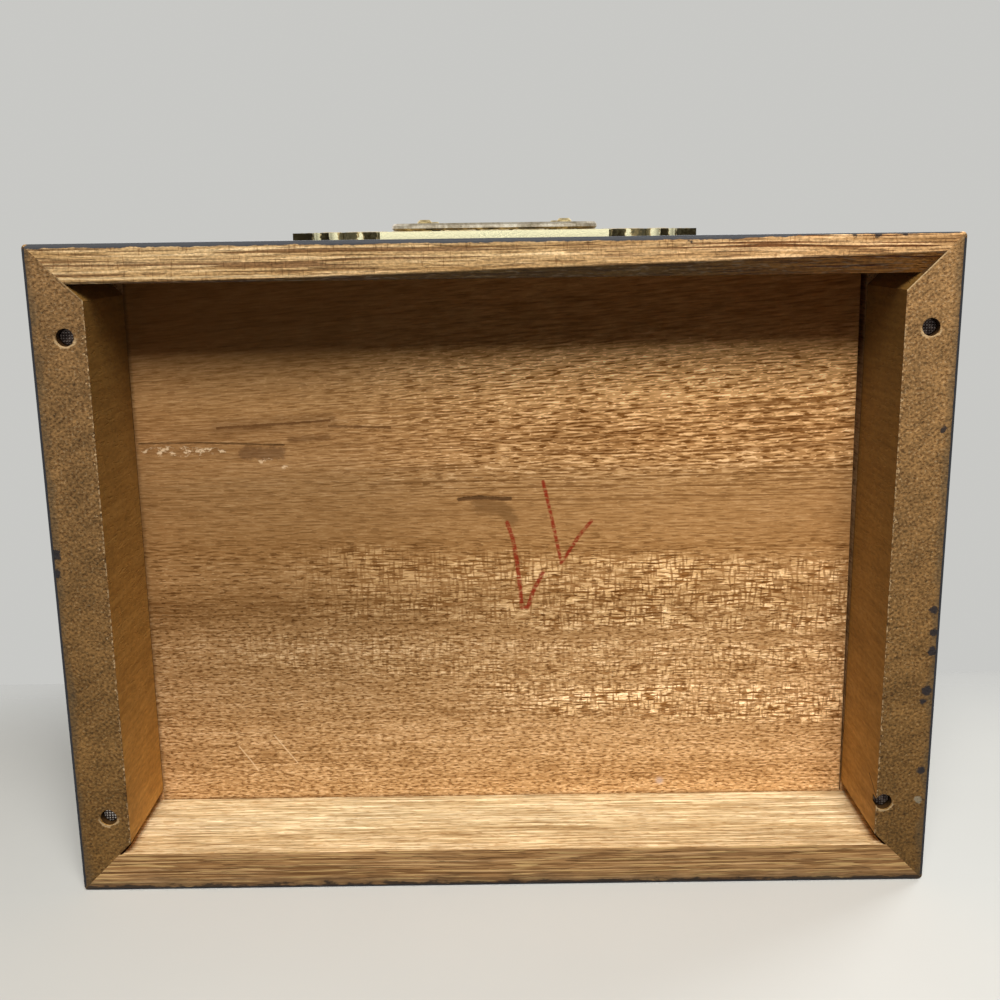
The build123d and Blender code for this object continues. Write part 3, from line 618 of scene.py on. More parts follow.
class CHEST_OT_dress_plinth(bpy.types.Operator):
    """Front and back rails with long grain, and side rails with sawn end grain underneath"""
    bl_idname = "chest.dress_plinth"
    bl_label = "Dress plinth"

    # Black blots and drips on the rims: X, distance from the middle towards the front, radius
    left_blots = [(-124.0, 9.3, 1.5), (-124.0, 3.8, 1.2)]
    right_blots = [
        (122.2, 41.4, 0.9), (122.9, -10.3, 1.1), (123.4, -17.0, 1.2), (123.3, -22.5, 1.3),
        (122.6, -34.5, 1.5), (121.9, -38.0, 0.9), (122.6, -59.4, 1.2),
    ]
    front_blots = [(95.1, 94.0, 0.8), (101.5, 93.8, 1.2), (108.6, 94.0, 0.7), (52.0, 92.6, 0.6)]
    glue = [(122.3, -68.6, 1.1)]
    # A split down the right rail's inner face: distance from the middle towards the front, and height
    right_splits = [[(-63.6, 7.5), (-66.0, 3.0), (-67.6, 0.0)]]

    def long_rail(self, context, name, middle):
        """Long grain: thin dark lines that run far, shorter ones between them, and pale fibres."""
        wood = context.scene.chest_wood
        s = Shader(name)
        colour, height, place = wood_grain(
            s, wood, tuple(wood.cream), X, fibre=(26, 0.8), pore=(5, 0.5), depth=0.22, wander=2.4
        )
        colour = colour * middle
        runs = s.strands(80, 0.85, place)
        short = s.strands(12, 0.55, place)
        dark = s.most(s.step(runs, 0.4, 0.375), s.step(short, 0.4, 0.35) * 0.6)
        beside = s.strands(80, 0.85, s.vector("ADD", place, (0.0, 0.33, 0.33)))
        pale = s.most(s.step(short, 0.6, 0.67) * 0.9, s.step(beside, 0.4, 0.375) * 0.9)
        blotch = s.noise((24, 5, 9), detail=4, rough=0.6)
        colour = s.tint(colour, 0.7 + blotch * 0.6)
        colour = s.mix(pale, colour, colour * (1.42, 1.55, 1.75))
        return s, colour, height - dark, dark, place

    def front_rail(self, context):
        s, colour, height, dark, _ = self.long_rail(context, "front_rail_wood", (0.64, 0.6, 0.53))
        right = s.step(s.x, -10.0, 105.0)
        colour = s.mix(right * 0.9, colour, colour * (1.38, 1.3, 1.32))
        colour = s.mix(dark * (0.8 + right * 0.2), colour, colour * (0.22, 0.13, 0.08))
        rim = s.step(s.z, 0.25, 0.05)
        fuzz = s.noise((1.1, 0.6, 0.6), detail=1.5, rough=0.6)
        colour = s.tint(colour, s.line(fuzz, 0.34, 0.66, 0.72, 1.3))
        nicks = s.flecks((0.7, 4.0, 4.0), 0.37, 0.31, detail=1) * (rim * 0.55)
        colour = s.mix(nicks, colour, colour * (0.42, 0.32, 0.25))

        # The planed bevel, which faces away from the light, is painted dark as shade, with dust on it; the
        # torn fibres along the inner arris take the same dark brown
        inner = INNER_FRONT - s.y
        jag = s.noise((5.0, 1.2, 1.2), detail=3, rough=0.65) * 1.5
        torn = s.step(inner - jag, 0.1, -0.45) * rim
        bevel = (1.0 - rim) * s.step(s.z, 6.0, 4.5)
        bevel_shade_tone = s.mix(s.step(s.x, 40.0, 118.0), (0.1, 0.078, 0.03), (0.34, 0.23, 0.1))
        shaded_bevel = s.vector("MULTIPLY", colour, bevel_shade_tone)
        dust = s.flecks((3.2, 0.6, 0.6), 0.56, 0.64, detail=1.0)
        shaded_bevel = s.mix(dust * 0.4, shaded_bevel, (0.17, 0.13, 0.09))
        # Painted highlight: a pale strip on the rim just beyond the torn fibres of the inner arris
        lip = s.between(inner - jag, 0.35, 0.85, 0.2) * rim

        # Lacquer stays in patches where the outer edge is rubbed, towards the right
        colour = s.coats(
            colour, (s.most(bevel * 0.96, torn * 0.85), shaded_bevel), (lip * 0.5, (0.8, 0.6, 0.34)),
            (blots(s, self.front_blots) * 0.9, (0.01, 0.011, 0.014)),
        )
        lap = s.line(s.x, 62.0, 96.0, 1.15, -0.2)
        return lacquered(s, context.scene, colour, 0.6, height, 0.35, lap, shine=0.25)

    def back_rail(self, context):
        s, colour, height, dark, place = self.long_rail(context, "back_rail_wood", (1.1, 1.27, 1.45))
        rim = s.step(s.z, 0.25, 0.05)
        face = 1.0 - rim
        pores = s.flecks((3.0, 0.6, 0.6), 0.44, 0.37, detail=0.7, twist=0.4, place=place)
        near_rim = s.step(s.z, 22.0, 3.0)
        colour = s.mix(face * near_rim, colour, colour * (0.95, 0.88, 0.82))
        colour = s.mix(pores * face * 0.55, colour, colour * (0.62, 0.48, 0.34))
        colour = s.mix(dark * face * 0.5, colour, colour * (0.62, 0.5, 0.38))

        # The rim is dull brown with golden fibres, and grimy along its outer edge
        rim_colour = colour * (0.52, 0.37, 0.26)
        rim_colour = s.mix(dark * 0.75, rim_colour, rim_colour * (0.36, 0.28, 0.2))
        golden = s.flecks((14, 0.55, 0.55), 0.58, 0.65, detail=0.5, place=place)
        edge = BACK - s.y + (s.noise((9, 3, 3), detail=4, rough=0.65) - 0.5) * 6.0
        grime = s.step(edge, 4.8, 0.8)
        rim_colour = s.coats(
            rim_colour, (golden * 0.68, (0.66, 0.43, 0.18)), (grime * 0.6, (0.046, 0.028, 0.016)),
            (s.step(edge, 1.3, 0.6) * 0.9, (0.016, 0.011, 0.008)),
        )
        colour = s.mix(rim, colour, rim_colour)

        # The mitres gape a little at the inner corners, widest near the rim
        height_share = s.math("SQRT", s.z * (1 / PANEL_FACE), clamp=True)
        bulge = 0.15 + s.math("SINE", height_share * math.pi) * 1.15
        gape = abs(s.x) - (HALF_WIDTH - BACK + INNER_BACK) + bulge
        colour = s.mix(s.step(gape, -0.15, 0.15) * face, colour, (0.03, 0.011, 0.005))
        return lacquered(s, context.scene, colour, 0.6, height, 0.3, shine=0.25)

    def side_rail(self, context, name, level, face_level, spots, splits=()):
        wood = context.scene.chest_wood
        s = Shader(name)
        colour, height, _ = wood_grain(
            s, wood, tuple(wood.orange), Z, fibre=(16, 1.6), pore=(3.5, 0.9), depth=0.16, wander=0.8
        )
        colour = s.mix(0.5, colour, wood.orange)
        cloud = s.noise((14, 18, 12), detail=4, rough=0.6)
        speckle = s.noise((0.9, 0.9, 2.4), detail=0.8)
        face = 0.48 + cloud * 0.44 + speckle * 0.62
        colour = s.tint(colour, face * s.line(s.y, FRONT, BACK, *face_level))
        ends, end_height = end_grain_colour(s, wood)
        dusk = s.noise((22, 30, 30), detail=3)
        # Painted light: by level, the sawn ends are lighter towards the front, nearer the light, and darker
        # towards the back
        ends = s.tint(ends, (0.66 + dusk * 0.68) * s.line(s.y, FRONT, BACK, *level))
        ends = s.mix(s.line(s.y, FRONT, BACK), ends, ends * (1.0, 0.93, 0.68))
        under = s.step(s.z, 0.2, 0.05)

        # Painted shade where the inner face meets the board and the other rails, and on the bare mitre
        # faces, which turn away from the light
        inner = abs(s.x) - INNER_HALF
        jag = s.noise((1.7, 1.4, 1.7), detail=4, rough=0.65)
        corner = s.least(s.y - INNER_FRONT, INNER_BACK - s.y)
        corner = s.least(corner, PANEL_FACE - s.z)
        corner_shade = s.step(corner - jag * 1.6, 0.1, -0.9)
        mitre = s.step(s.y, INNER_FRONT + 0.2, INNER_FRONT - 0.2)
        colour = s.coats(colour, (corner_shade * 0.75, (0.035, 0.014, 0.006)), (mitre * 0.85, (0.07, 0.034, 0.012)))

        # Fibres torn from the inner arris, with pale splinters, and grime near the outside
        torn = s.step(inner - s.step(jag, 0.46, 0.7) * 1.9, 0.2, -0.2)
        splinter = torn * s.flecks(1.1, 0.58, 0.66, detail=1)
        ends = s.mix(torn * 0.62, ends, ends * (0.36, 0.3, 0.25))
        lip = s.step(inner, 0.55, 0.15) * s.flecks(1.3, 0.5, 0.6, detail=1)
        # Painted highlight with torn fibres: a pale strip along the mitre's arris on the rim, stronger on
        # the right rail
        rim = HALF_WIDTH - abs(s.x)
        mitre_line = s.y - FRONT - rim
        arris = s.step(mitre_line, 0.95, 0.55) * s.step(rim, 3.0, 6.0)
        grime = s.step(rim - s.noise((9, 14, 9), detail=4) * 7.0, -0.6, -3.0)
        ends = s.coats(
            ends, (splinter * 0.75, (0.66, 0.46, 0.25)), (lip * 0.45, (0.6, 0.42, 0.23)),
            (arris * s.line(s.x, -1.0, 1.0, 0.25, 0.75), (0.62, 0.45, 0.25)),
            (grime * 0.5, (0.072, 0.056, 0.034)),
        )

        # Nail holes: painted shade inside, with a torn pale lip on the side away from the front
        for _, _, centre, radius in nail_places():
            apart = s.apart(s.place * (1, 1, 0), (centre[X], centre[Y], 0))
            wall = s.step(apart, radius + 1.0, radius + 0.8) * s.step(s.z, 0.25, 0.55)
            wall = wall * s.step(inner, 0.02, 0.1)
            colour = s.mix(wall * 0.92, colour, (0.02, 0.009, 0.005))
            behind = s.step(s.y - centre[Y], -0.6, 1.6)
            lip = apart + (jag - 0.5) * 2.2
            lip = s.between(lip, radius + 0.3, radius + 0.95, 0.15) * behind
            ends = s.mix(lip * 0.65, ends, (0.62, 0.44, 0.24))
        for ends_of_split in splits:
            split = s.stroke([(MIDDLE - far, z) for far, z in ends_of_split], s.join(s.y, s.z, 0.0))
            colour = s.mix(s.step(split, 0.4, 0.12) * 0.85, colour, (0.02, 0.01, 0.006))
        ends = s.coats(
            ends, (blots(s, spots) * 0.9, (0.012, 0.013, 0.017)),
            (blots(s, self.glue) * 0.35, (0.42, 0.42, 0.33)),
        )
        colour = s.mix(under, colour, ends)
        height = under * end_height + (1.0 - under) * height
        return lacquered(s, context.scene, colour, 0.7, height, 0.28, shine=0.25)

    def execute(self, context):
        dress(["plinth_front_rail"], self.front_rail(context))
        dress(["plinth_back_rail"], self.back_rail(context))
        left = self.side_rail(context, "left_rail_wood", (1.14, 0.98), (0.36, 1.28), self.left_blots)
        dress(["plinth_left_rail"], left)
        right = self.side_rail(
            context, "right_rail_wood", (1.68, 0.78), (0.34, 1.0), self.right_blots, self.right_splits
        )
        dress(["plinth_right_rail"], right)
        return {"FINISHED"}


class CHEST_OT_dress_case(bpy.types.Operator):
    """Lacquered boards outside, bare wood inside, for the case, the lid and the drawers"""
    bl_idname = "chest.dress_case"
    bl_label = "Dress case"

    lacquered_boards = {
        X: ["front_sill", "back_board", "drawer_divider", "upper_front_wall", "lid_panel", "lid_front_rail",
            "lid_back_rail", "lower_drawer_front", "upper_drawer_front"],
        Y: ["lid_left_rail", "lid_right_rail"],
        Z: ["left_side", "right_side"],
    }
    bare_boards = {
        X: ["compartment_floor", "lower_drawer_back", "upper_drawer_back", "lower_drawer_bottom",
            "upper_drawer_bottom", "cross_partition", "mirror_front_bead", "mirror_back_bead"],
        Y: ["lower_drawer_left_side", "lower_drawer_right_side", "upper_drawer_left_side",
            "upper_drawer_right_side", "long_partition", "mirror_left_bead", "mirror_right_bead"],
    }

    def execute(self, context):
        wood = context.scene.chest_wood
        for grain, boards in self.lacquered_boards.items():
            s = Shader("lacquered_wood_" + "xyz"[grain])
            colour, height, _ = wood_grain(s, wood, tuple(wood.golden), grain)
            dress(boards, lacquered(s, context.scene, colour, 0.6, height))
        for grain, boards in self.bare_boards.items():
            s = Shader("bare_wood_" + "xyz"[grain])
            colour, height, _ = wood_grain(s, wood, tuple(wood.golden), grain)
            dress(boards, s.surface(colour, 0.6, s.bump(height, 0.1), shine=0.12))
        return {"FINISHED"}


class CHEST_OT_dress_metal(bpy.types.Operator):
    """Brass pulls and hinges with tarnish, steel nails, and the silvered mirror"""
    bl_idname = "chest.dress_metal"
    bl_label = "Dress metal and mirror"

    brass_nodes = [
        "left_hinge_case_leaf", "right_hinge_case_leaf", "left_hinge_lid_leaf", "right_hinge_lid_leaf",
        "left_hinge_pin", "right_hinge_pin", "case_hinge_screws", "lid_hinge_screws",
        "lower_pull_posts", "upper_pull_posts", "lower_pull_nuts", "upper_pull_nuts",
    ]
    # Painted reflections along the edge of the back plates, out from the middle: a bright highlight on the
    # crests and dark in the notches
    painted_edge_reflection = [
        (0.0, 0), (35.6, 0), (36.4, 1), (39.9, 1), (40.6, 0), (41.6, 0), (42.2, 0.7), (48.2, 0.7), (48.9, 0),
        (51.4, 0), (52.0, 1), (54.4, 1), (55.0, 0), (57.3, 0), (58.0, 1), (PLATE_REACH, 1),
    ]

    def execute(self, context):
        brass = context.scene.chest_brass
        dress(self.brass_nodes, brass_finish("tarnished_brass", brass))
        bail_brass = brass_finish("bail_brass", brass, dull=0.05, bright=(0.85, 0.76, 0.58))
        dress(["lower_bail", "upper_bail"], bail_brass)
        # Painted reflection: for each place along the edge, 0 is a bright crest and 1 a dark notch
        edge = [(place / PLATE_REACH, tarnish) for place, tarnish in self.painted_edge_reflection]
        dress(["lower_pull_plate", "upper_pull_plate"], brass_finish("plate_brass", brass, edge=edge))
        s = Shader("nail_steel")
        blotch = s.noise(1.4, detail=4, rough=0.6)
        colour = s.ramp(blotch, [(0.42, (0.02, 0.011, 0.009)), (0.6, (0.085, 0.062, 0.05))])
        head = corners("plinth_nails")[0][Z]
        tips = s.step(s.z, head - 0.1, head - 0.15)
        bright = s.step(s.x, 10.0, -10.0) * s.step(s.y, -10.0, 10.0)
        colour = s.mix(tips * (0.1 + bright * 0.8), colour, (0.5, 0.46, 0.4))
        rough = s.line(blotch, 0.3, 0.7, 0.5, 0.3)
        dress(["plinth_nails"], s.surface(colour, rough, s.bump(blotch, 0.03), Metallic=0.9))
        s = Shader("silvered_glass")
        dust = s.noise(22, detail=5, rough=0.6)
        colour = s.ramp(dust, [(0.3, (0.84, 0.86, 0.86)), (0.7, (0.91, 0.92, 0.92))])
        dress(["lid_mirror"], s.surface(colour, s.line(dust, 0.45, 0.8, 0.015, 0.07), Metallic=1.0))
        return {"FINISHED"}


def brass_finish(name, brass, dull=0.0, bright=None, edge=None, ground=None):
    """Brass, bright where it is rubbed and olive where tarnish stays.

    edge paints reflections by place along a plate's edge faces, bright on its crests and dark in its
    notches, and ground is the Y of a relief's hollows, which keep more tarnish than its ridges."""
    s = Shader(name)
    blotch = s.noise(6, detail=5, rough=0.65)
    fine = s.noise(0.9, detail=3, rough=0.7)
    film = blotch * 0.6 + fine * 0.4 + dull
    middle = (0.55, 0.4, 0.17) if bright is None else (0.55, 0.46, 0.32)
    stops = [(0.46, bright or brass.bright), (0.6, middle), (0.74, brass.tarnish)]
    if ground is not None:
        film = film + s.line(s.y, ground - 0.24, ground - 0.04, -0.08, 0.17)
    if edge is not None:
        # Painted reflection on the edge faces: lighter on the crests, darker in the notches, with a bright
        # highlight stop and a dark stop
        rim = s.step(abs(s.split(s.facing)[1]), 0.7, 0.3)
        ragged = abs(s.x) + (fine - 0.5) * 2.6
        dark = s.ramp(s.math("DIVIDE", ragged, PLATE_REACH), edge)
        film = film + rim * (-0.22 + dark * 0.64)
        stops = [(0.4, (0.98, 0.91, 0.56)), *stops, (0.96, (0.045, 0.034, 0.015))]
    colour = s.ramp(film, stops)
    return s.surface(colour, s.line(film, 0.35, 0.75, 0.22, 0.5), s.bump(fine, 0.02), Metallic=1.0)


def grid_quads(points):
    """Numbers of a grid's points, and the quads between them."""
    rows, columns, _ = points.shape
    index = np.arange(rows * columns).reshape(rows, columns)
    quads = np.stack([index[:-1, :-1], index[1:, :-1], index[1:, 1:], index[:-1, 1:]], -1)
    return index, quads.reshape(-1, 4)


def add_mesh(name, points, faces, material):
    """A smooth object at the origin, from points in metres."""
    mesh = bpy.data.meshes.new(name)
    mesh.from_pydata(points.tolist(), [], faces.tolist())
    mesh.validate()
    mesh.shade_smooth()
    mesh.materials.append(material)
    piece = bpy.data.objects.new(name, mesh)
    bpy.context.collection.objects.link(piece)
    return piece


def closed_shell(name, front, back, material, body):
    """A closed piece from two equal grids of points, in millimetres, joined round their four borders.

    The border of a grid with m by n points is walked once round, and each step of the walk makes one
    quad between the two grids. Where the volume comes out negative, every face is turned round."""
    points = np.concatenate([front.reshape(-1, 3), back.reshape(-1, 3)]) * MM
    index, quads = grid_quads(front)
    walk = np.concatenate([index[0, :-1], index[:-1, -1], index[-1, :0:-1], index[:0:-1, 0]])
    onward = np.roll(walk, -1)
    count = index.size
    sides = np.stack([walk, onward, onward + count, walk + count], -1)
    faces = np.concatenate([quads, quads[:, ::-1] + count, sides])
    a, b, c, d = (points[faces[:, corner]] for corner in range(4))
    volume = np.einsum("ij,ij->", a, np.cross(b, c) + np.cross(c, d))
    piece = add_mesh(name, points, faces[:, ::-1] if volume < 0 else faces, material)
    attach(piece, body)
    return piece


def grid(low, high, columns, rows):
    """Even grid of X and Y values between two corners."""
    sides = (np.linspace(low[axis], high[axis], count) for axis, count in ((X, columns), (Y, rows)))
    return np.meshgrid(*sides, indexing="ij")


def layer(x, y, z):
    """A grid's points, where one of the three may be one number for them all."""
    return np.stack(np.broadcast_arrays(x, y, z), -1)


def held(value):
    """The value held between 0 and 1."""
    return np.clip(value, 0, 1)


class CHEST_OT_add_nail_checks(bpy.types.Operator):
    """Raised checks on each nail head: small pyramids in rows over a disc"""
    bl_idname = "chest.add_nail_checks"
    bl_label = "Add nail checks"

    check_pitch = 0.8
    check_height = 0.16
    # The checks stop this far inside the head's rim, and their base lies this deep in the head
    rim_margin = 0.08
    base_depth = 0.1

    def execute(self, context):
        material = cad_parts["plinth_nails"].data.materials[0]
        for side, end, centre, radius in nail_places():
            radius -= self.rim_margin
            u, v = grid((-1, -1), (1, 1), 61, 61)
            # A square grid drawn onto a disc keeps its lines evenly spaced along both axes
            x = radius * u * np.sqrt(1 - v**2 / 2)
            y = radius * v * np.sqrt(1 - u**2 / 2)
            waves = (np.abs(np.sin(math.pi * place / self.check_pitch)) for place in (x, y))
            pyramids = np.minimum(*waves)
            height = self.check_height * np.minimum(pyramids * 1.25, 1)
            front = layer(centre[X] + x, centre[Y] + y, centre[Z] - height)
            back = layer(centre[X] + x, centre[Y] + y, centre[Z] + self.base_depth)
            name = "nail_checks_" + ("left" if side < 0 else "right") + ("_front" if end < 0 else "_back")
            closed_shell(name, front, back, material, "case")
        return {"FINISHED"}


class CHEST_OT_add_plate_relief(bpy.types.Operator):
    """Cast relief over the face of each back plate: a rosette, scrolls and a beaded border"""
    bl_idname = "chest.add_plate_relief"
    bl_label = "Add plate relief"

    # How much further the plate rises over its middle than it falls under it
    crest_rise = 2.4
    # Distance of a post from the middle, and the radius round it that stays flat
    post_place, post_clearance = 22.5, 3.4
    # The relief is tall between the posts and over the bail, and low beyond
    tall_half_width, tall_low_end, low_height = 20.0, -14.0, 0.22
    # Beads lie in a row this far inside the border, and scrolls are ridges of this half width
    bead_length, bead_inset, bead_width = 1.1, 1.0, 0.5
    ridge_width = 0.55
    # The relief grows out of the plate's face, and its base lies this deep in the plate
    base_depth = 0.2
    # Half height of the plate's field at places out from its middle
    field = [(0, 18.7), (33.9, 18.7), (36.6, 14.2), (46.0, 10.2), (51.0, 6.0), (56.4, 2.6), (62.5, 0.5)]

    def scrolls(self, x, z):
        """Height of scrolls: a ridge round each spiral whose radius grows evenly with its turn."""
        turn = np.linspace(0.4, 3.6 * math.pi, 150)
        total = np.zeros_like(x)
        for x_eye, z_eye, spread, spin, start in (
            (12.0, 0.5, 0.52, 1, 0.0), (41.0, 0.0, 0.62, -1, 2.4), (27.5, 12.6, 0.4, 1, 3.4),
            (27.5, -12.2, 0.4, -1, 2.9), (52.0, 0.0, 0.3, 1, 0.4),
        ):
            radius = spread * turn
            angle = spin * turn + start
            xs = x_eye + radius * np.cos(angle)
            zs = z_eye + radius * np.sin(angle)
            near = np.min(np.hypot(x[..., None] - xs, z[..., None] - zs), axis=-1)
            total = np.maximum(total, np.exp(-((near / self.ridge_width) ** 2)))
        return total

    def execute(self, context):
        brass = context.scene.chest_brass
        material = brass_finish("relief_brass", brass, ground=corners("lower_pull_plate")[0][Y])
        for name in ("lower", "upper"):
            low, high = corners(name + "_pull_plate")
            posts_low, posts_high = corners(name + "_pull_posts")
            z_plate = (low[Z] + high[Z] - self.crest_rise) / 2
            z_posts = (posts_low[Z] + posts_high[Z]) / 2 - z_plate
            u, v = grid((-1, -1), (1, 1), 321, 121)
            reach = self.field[-1][0]
            x = reach * u
            half = np.interp(np.abs(x), *np.array(self.field).T)
            z = half * v
            ridge = self.scrolls(np.abs(x), z)
            petals = np.cos(4 * np.arctan2(z, x)) * 1.3 + 3.1
            rosette = held(1 - (np.hypot(x, z) / petals) ** 2) ** 0.5
            inward = (1 - np.abs(v)) * half
            row = np.exp(-((inward - self.bead_inset) / self.bead_width) ** 2)
            beads = held(np.cos(math.pi * x / self.bead_length) * row)
            inside = held((self.tall_half_width - np.abs(x)) / 2) * held((z - self.tall_low_end) / 2)
            posts = np.hypot(np.abs(x) - self.post_place, z - z_posts) > self.post_clearance
            tall = self.low_height + (brass.relief / MM - self.low_height) * inside
            shape = np.maximum(np.maximum(ridge, rosette), 0.7 * beads) * tall * posts
            fade = held(inward / 0.4) * held(reach - np.abs(x))
            face = low[Y] + 0.02
            front = layer(x, face - 0.03 - shape * fade, z_plate + z)
            back = layer(x, face + self.base_depth, z_plate + z)
            closed_shell(name + "_plate_relief", front, back, material, name + "_drawer")
        return {"FINISHED"}


def velvet_finish(velvet):
    """Short pile: a soft sheen, and patches where the pile lies another way."""
    s = Shader("velvet")
    pile = s.noise(0.35, rough=0.7)
    stroke = s.noise((18, 26, 18), detail=3)
    level = 0.62 + (stroke * 0.55 + pile * 0.35)
    colour = s.tint(velvet.colour, level)
    return s.surface(
        colour, 0.9, s.bump(pile, 0.25), shine=0.1, Sheen_Weight=0.7, Sheen_Roughness=0.35,
        Sheen_Tint=(0.75, 0.28, 0.3),
    )


class CHEST_OT_add_linings(bpy.types.Operator):
    """Velvet sheets laid in the compartment and in both drawers"""
    bl_idname = "chest.add_linings"
    bl_label = "Add linings"

    swell_height = 0.12
    edge_radius = 1.2
    # The swells fade out over this distance from the sheet's edges
    calm_edge = 6

    def execute(self, context):
        material = velvet_finish(context.scene.chest_velvet)
        for node, body, below in (
            ("compartment_lining", "case", "compartment_floor"),
            ("lower_drawer_lining", "lower_drawer", "lower_drawer_bottom"),
            ("upper_drawer_lining", "upper_drawer", "upper_drawer_bottom"),
        ):
            low, high = corners(node)
            x, y = grid(low + 0.1, high - 0.1, 141, 111)
            # Slow swells, and a rounded edge where the sheet turns down to the board
            swell = self.swell_height * np.sin(x / 13.0 + 1.2 * np.sin(y / 21.0)) * np.sin(y / 17.0 + 0.7)
            rim = np.minimum(np.minimum(x - low[X], high[X] - x), np.minimum(y - low[Y], high[Y] - y))
            round_edge = np.sqrt(held(1 - (1 - held(rim / self.edge_radius)) ** 2))
            thick = high[Z] - low[Z]
            top = low[Z] + thick * (0.45 + 0.47 * round_edge) + swell * held(rim / self.calm_edge)
            back = layer(x, y, low[Z] + 0.02)
            piece = closed_shell("velvet_" + node, layer(x, y, top), back, material, body)
            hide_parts(node)
        return {"FINISHED"}


class CHEST_OT_add_ring_cushion(bpy.types.Operator):
    """Velvet ring cushion: rolls side by side with deep channels and drawn-in ends"""
    bl_idname = "chest.add_ring_cushion"
    bl_label = "Add ring cushion"

    # How far in the cushion rounds down at the ends of its rolls, and before the first and last roll
    end_radius, side_radius = 6.0, 2.0
    pucker_height = 0.1

    def execute(self, context):
        velvet = context.scene.chest_velvet
        low, high = corners("ring_rolls")
        x, y = grid(low + 0.05, high - 0.05, 121, 401)
        pitch = (high[Y] - low[Y]) / velvet.rolls
        # Each roll is half a circle across; the ends round down like a cushion's
        along = (y - low[Y]) / pitch
        across = 2 * (along - np.floor(along)) - 1
        crown = np.sqrt(held(1 - across**2))
        rim_x = held(np.minimum(x - low[X], high[X] - x) / self.end_radius)
        rim_y = held(np.minimum(y - low[Y], high[Y] - y) / self.side_radius)
        ends = np.sqrt(1 - (1 - rim_x) ** 2.4) * np.sqrt(1 - (1 - rim_y) ** 2.4)
        tall = high[Z] - low[Z]
        puckers = self.pucker_height * np.sin(x * 1.9 + 2.3 * np.floor(along)) * (1 - crown)
        top = low[Z] + 0.3 + (tall - 0.4) * ends * (0.42 + 0.58 * crown) + puckers * ends
        back = layer(x, y, low[Z] + 0.02)
        material = bpy.data.materials["velvet"]
        piece = closed_shell("velvet_ring_cushion", layer(x, y, top), back, material, "case")
        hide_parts("ring_rolls")
        return {"FINISHED"}


# Stage

def pale_floor(name, colour, standing):
    """Pale matt surface that shows from its front only, and fades into the backdrop further off."""
    s = Shader(name)
    if standing:
        away = s.vector("LENGTH", s.place * (1, 1, 0), out="Value")
        far = s.step(away, 330.0, 620.0)
    else:
        far = s.most(s.step(s.z, 80.0, 205.0), s.step(abs(s.x), 400.0, 800.0))
    cloud = s.noise(60, detail=4, rough=0.6)
    pale = s.add("ShaderNodeBsdfDiffuse")
    s.plug(pale.inputs["Color"], s.tint(colour, s.line(cloud, 0.2, 0.8, 0.985, 1.015)))
    behind = Value(s, s.add("ShaderNodeNewGeometry").outputs["Backfacing"])
    return s.finish(s.blend(s.most(behind, far), pale, s.add("ShaderNodeBsdfTransparent")))


def backdrop(name, points, material):
    """A stage surface through a grid of points in metres, which only the camera sees."""
    piece = add_mesh(name, points.reshape(-1, 3), grid_quads(points)[1], material)
    piece.visible_diffuse = False
    piece.visible_glossy = False
    piece.visible_transmission = False
    piece.visible_shadow = False


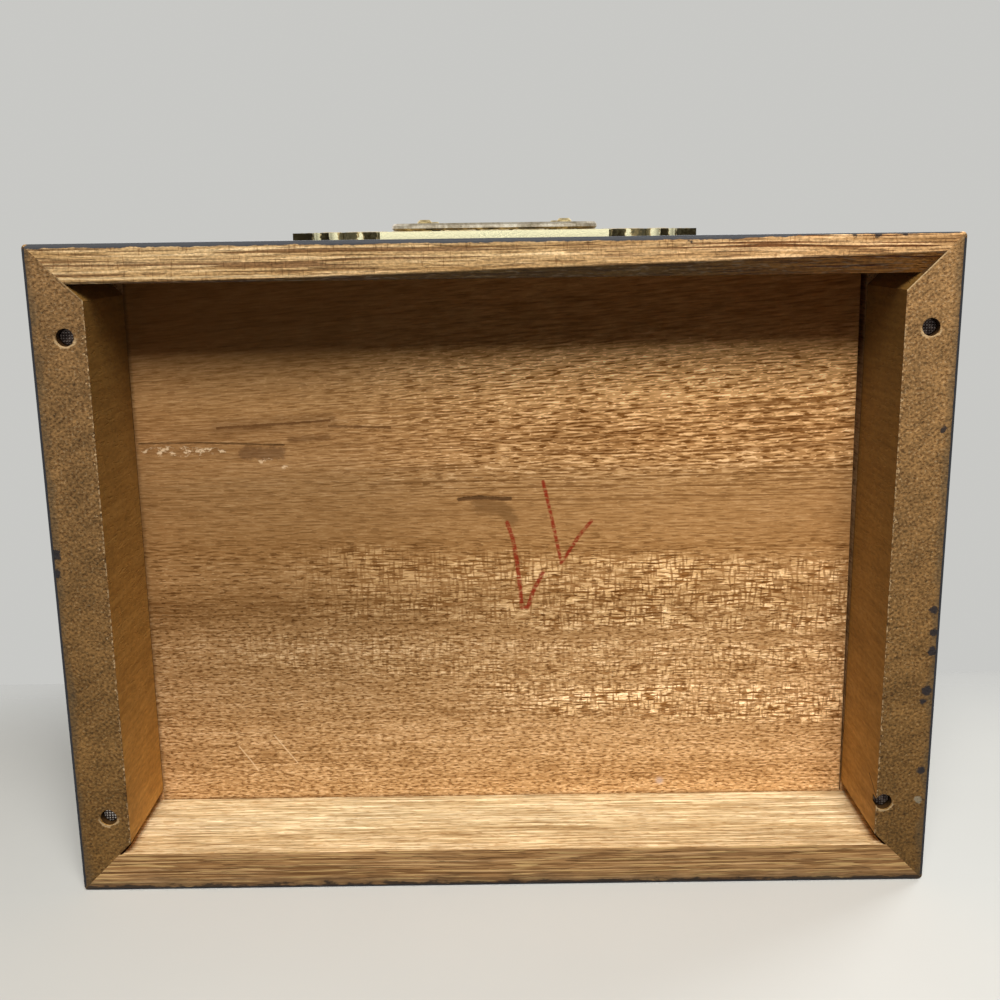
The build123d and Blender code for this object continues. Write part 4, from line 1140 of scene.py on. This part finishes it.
class CHEST_OT_set_stage(bpy.types.Operator):
    """Pale floors, soft lights and the camera that looks at the underside"""
    bl_idname = "chest.set_stage"
    bl_label = "Set stage"

    def area_light(self, name, place, aim_height, size, power, colour):
        """Soft light in metres, turned to a point over the origin."""
        data = bpy.data.lights.new(name, "AREA")
        data.shape = "RECTANGLE"
        data.size, data.size_y = size
        data.energy = power
        data.color = colour
        light = bpy.data.objects.new(name, data)
        light.visible_camera = False
        light.visible_glossy = False
        away = Vector(place) - Vector((0, 0, aim_height))
        light.matrix_world = Matrix.LocRotScale(Vector(place), away.to_track_quat("Z", "Y"), None)
        bpy.context.collection.objects.link(light)

    def execute(self, context):
        # The stage is laid out in metres
        stage = context.scene.chest_stage
        u = np.linspace(-2.5, 2.5, 9)

        # The surface that the chest stands on, seen from above only
        x, y = np.meshgrid(u, u, indexing="ij")
        floor = pale_floor("standing_floor", stage.floor, standing=True)
        backdrop("standing_floor", layer(x, y, -0.0004), floor)

        # The surface that its back lies on: level, then rolling away like a table's edge
        turn = np.linspace(0.1, 0.5, 14)
        reach = np.concatenate([np.linspace(-1.6, 0.16, 12), 0.16 + 0.05 * np.sin(turn)])
        drop = np.concatenate([np.zeros(12), 0.05 * (1 - np.cos(turn))])
        x, z = np.meshgrid(u, reach, indexing="ij")
        floor = pale_floor("lying_floor", stage.floor, standing=False)
        backdrop("lying_floor", layer(x, BACK * MM + 0.0003 + drop, z), floor)

        warm, cool = (1.0, 0.975, 0.93), (0.96, 0.98, 1.0)
        self.area_light("key", (0.05, -0.84, -0.7), 0.02, (0.52, 0.6), stage.key_power, warm)
        self.area_light("fill", (-0.55, 0.75, 0.85), 0.1, (0.8, 0.8), stage.fill_power, cool)
        self.area_light("side", (0.95, -0.55, 0.75), 0.1, (0.6, 0.6), stage.fill_power / 2, cool)

        # Gloss mirrors a room that is lighter above and below than at eye level
        s = Shader(bpy.data.worlds.new("daylight"))
        rays = s.add("ShaderNodeLightPath").outputs
        room = s.line(abs(s.split(s.around)[Z]), 0.0, 0.9, 0.4, 1.25)
        shown = None
        for strength, colour, ray in (
            (stage.daylight, (1.0, 0.96, 0.88), None),
            (1.0, stage.floor, "Is Camera Ray"),
            (room, (0.97, 0.98, 1.0), "Is Glossy Ray"),
        ):
            sky = s.add("ShaderNodeBackground")
            s.plug(sky.inputs["Color"], colour)
            s.plug(sky.inputs["Strength"], strength)
            shown = s.blend(Value(s, rays[ray]), shown, sky) if ray else sky
        context.scene.world = s.finish(shown, "ShaderNodeOutputWorld")

        # The camera, from the turn and the shift that fit the outline of the rim, taken from 94 mm
        # in front of the back
        turn = Vector((0.21941801, -0.00095915, -0.01356787))
        shift = Vector((-0.00119802, 0.09208382, 1.33190632)) * (2 * HALF_WIDTH * MM)
        back_turn = Quaternion(turn.normalized(), -turn.length)
        place = back_turn @ -shift + Vector((0, (BACK - 94.0) * MM, 0))
        data = bpy.data.cameras.new("camera")
        data.lens = stage.lens
        data.sensor_width = 36.0
        data.clip_start = 0.01
        camera = bpy.data.objects.new("camera", data)
        camera.matrix_world = Matrix.LocRotScale(place, back_turn @ Quaternion((1, 0, 0), math.pi), None)
        bpy.context.collection.objects.link(camera)
        context.scene.camera = camera
        context.scene.view_settings.view_transform = "Standard"
        return {"FINISHED"}


class CHEST_PT_sidebar(bpy.types.Panel):
    """Lists the chest's operators in the 3D view's sidebar"""
    bl_label = "Jewelry Chest"
    bl_idname = "CHEST_PT_sidebar"
    bl_space_type = "VIEW_3D"
    bl_region_type = "UI"
    bl_category = "Chest"

    def draw(self, context):
        for operator in OPERATORS:
            self.layout.operator(operator.bl_idname)


GROUPS = {
    "chest_wood": ChestWood,
    "chest_lacquer": ChestLacquer,
    "chest_brass": ChestBrass,
    "chest_velvet": ChestVelvet,
    "chest_stage": ChestStage,
}
OPERATORS = (
    CHEST_OT_dress_bottom_board,
    CHEST_OT_dress_plinth,
    CHEST_OT_dress_case,
    CHEST_OT_dress_metal,
    CHEST_OT_add_nail_checks,
    CHEST_OT_add_plate_relief,
    CHEST_OT_add_linings,
    CHEST_OT_add_ring_cushion,
    CHEST_OT_set_stage,
)


def register():
    for kind in (*GROUPS.values(), *OPERATORS, CHEST_PT_sidebar):
        bpy.utils.register_class(kind)
    for name, group in GROUPS.items():
        setattr(bpy.types.Scene, name, PointerProperty(type=group))


def unregister():
    for name in GROUPS:
        delattr(bpy.types.Scene, name)
    for kind in reversed((*GROUPS.values(), *OPERATORS, CHEST_PT_sidebar)):
        bpy.utils.unregister_class(kind)


def main():
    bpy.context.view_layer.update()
    register()
    for operator in OPERATORS:
        group, action = operator.bl_idname.split(".")
        getattr(getattr(bpy.ops, group), action)()


if __name__ == "__main__":
    main()
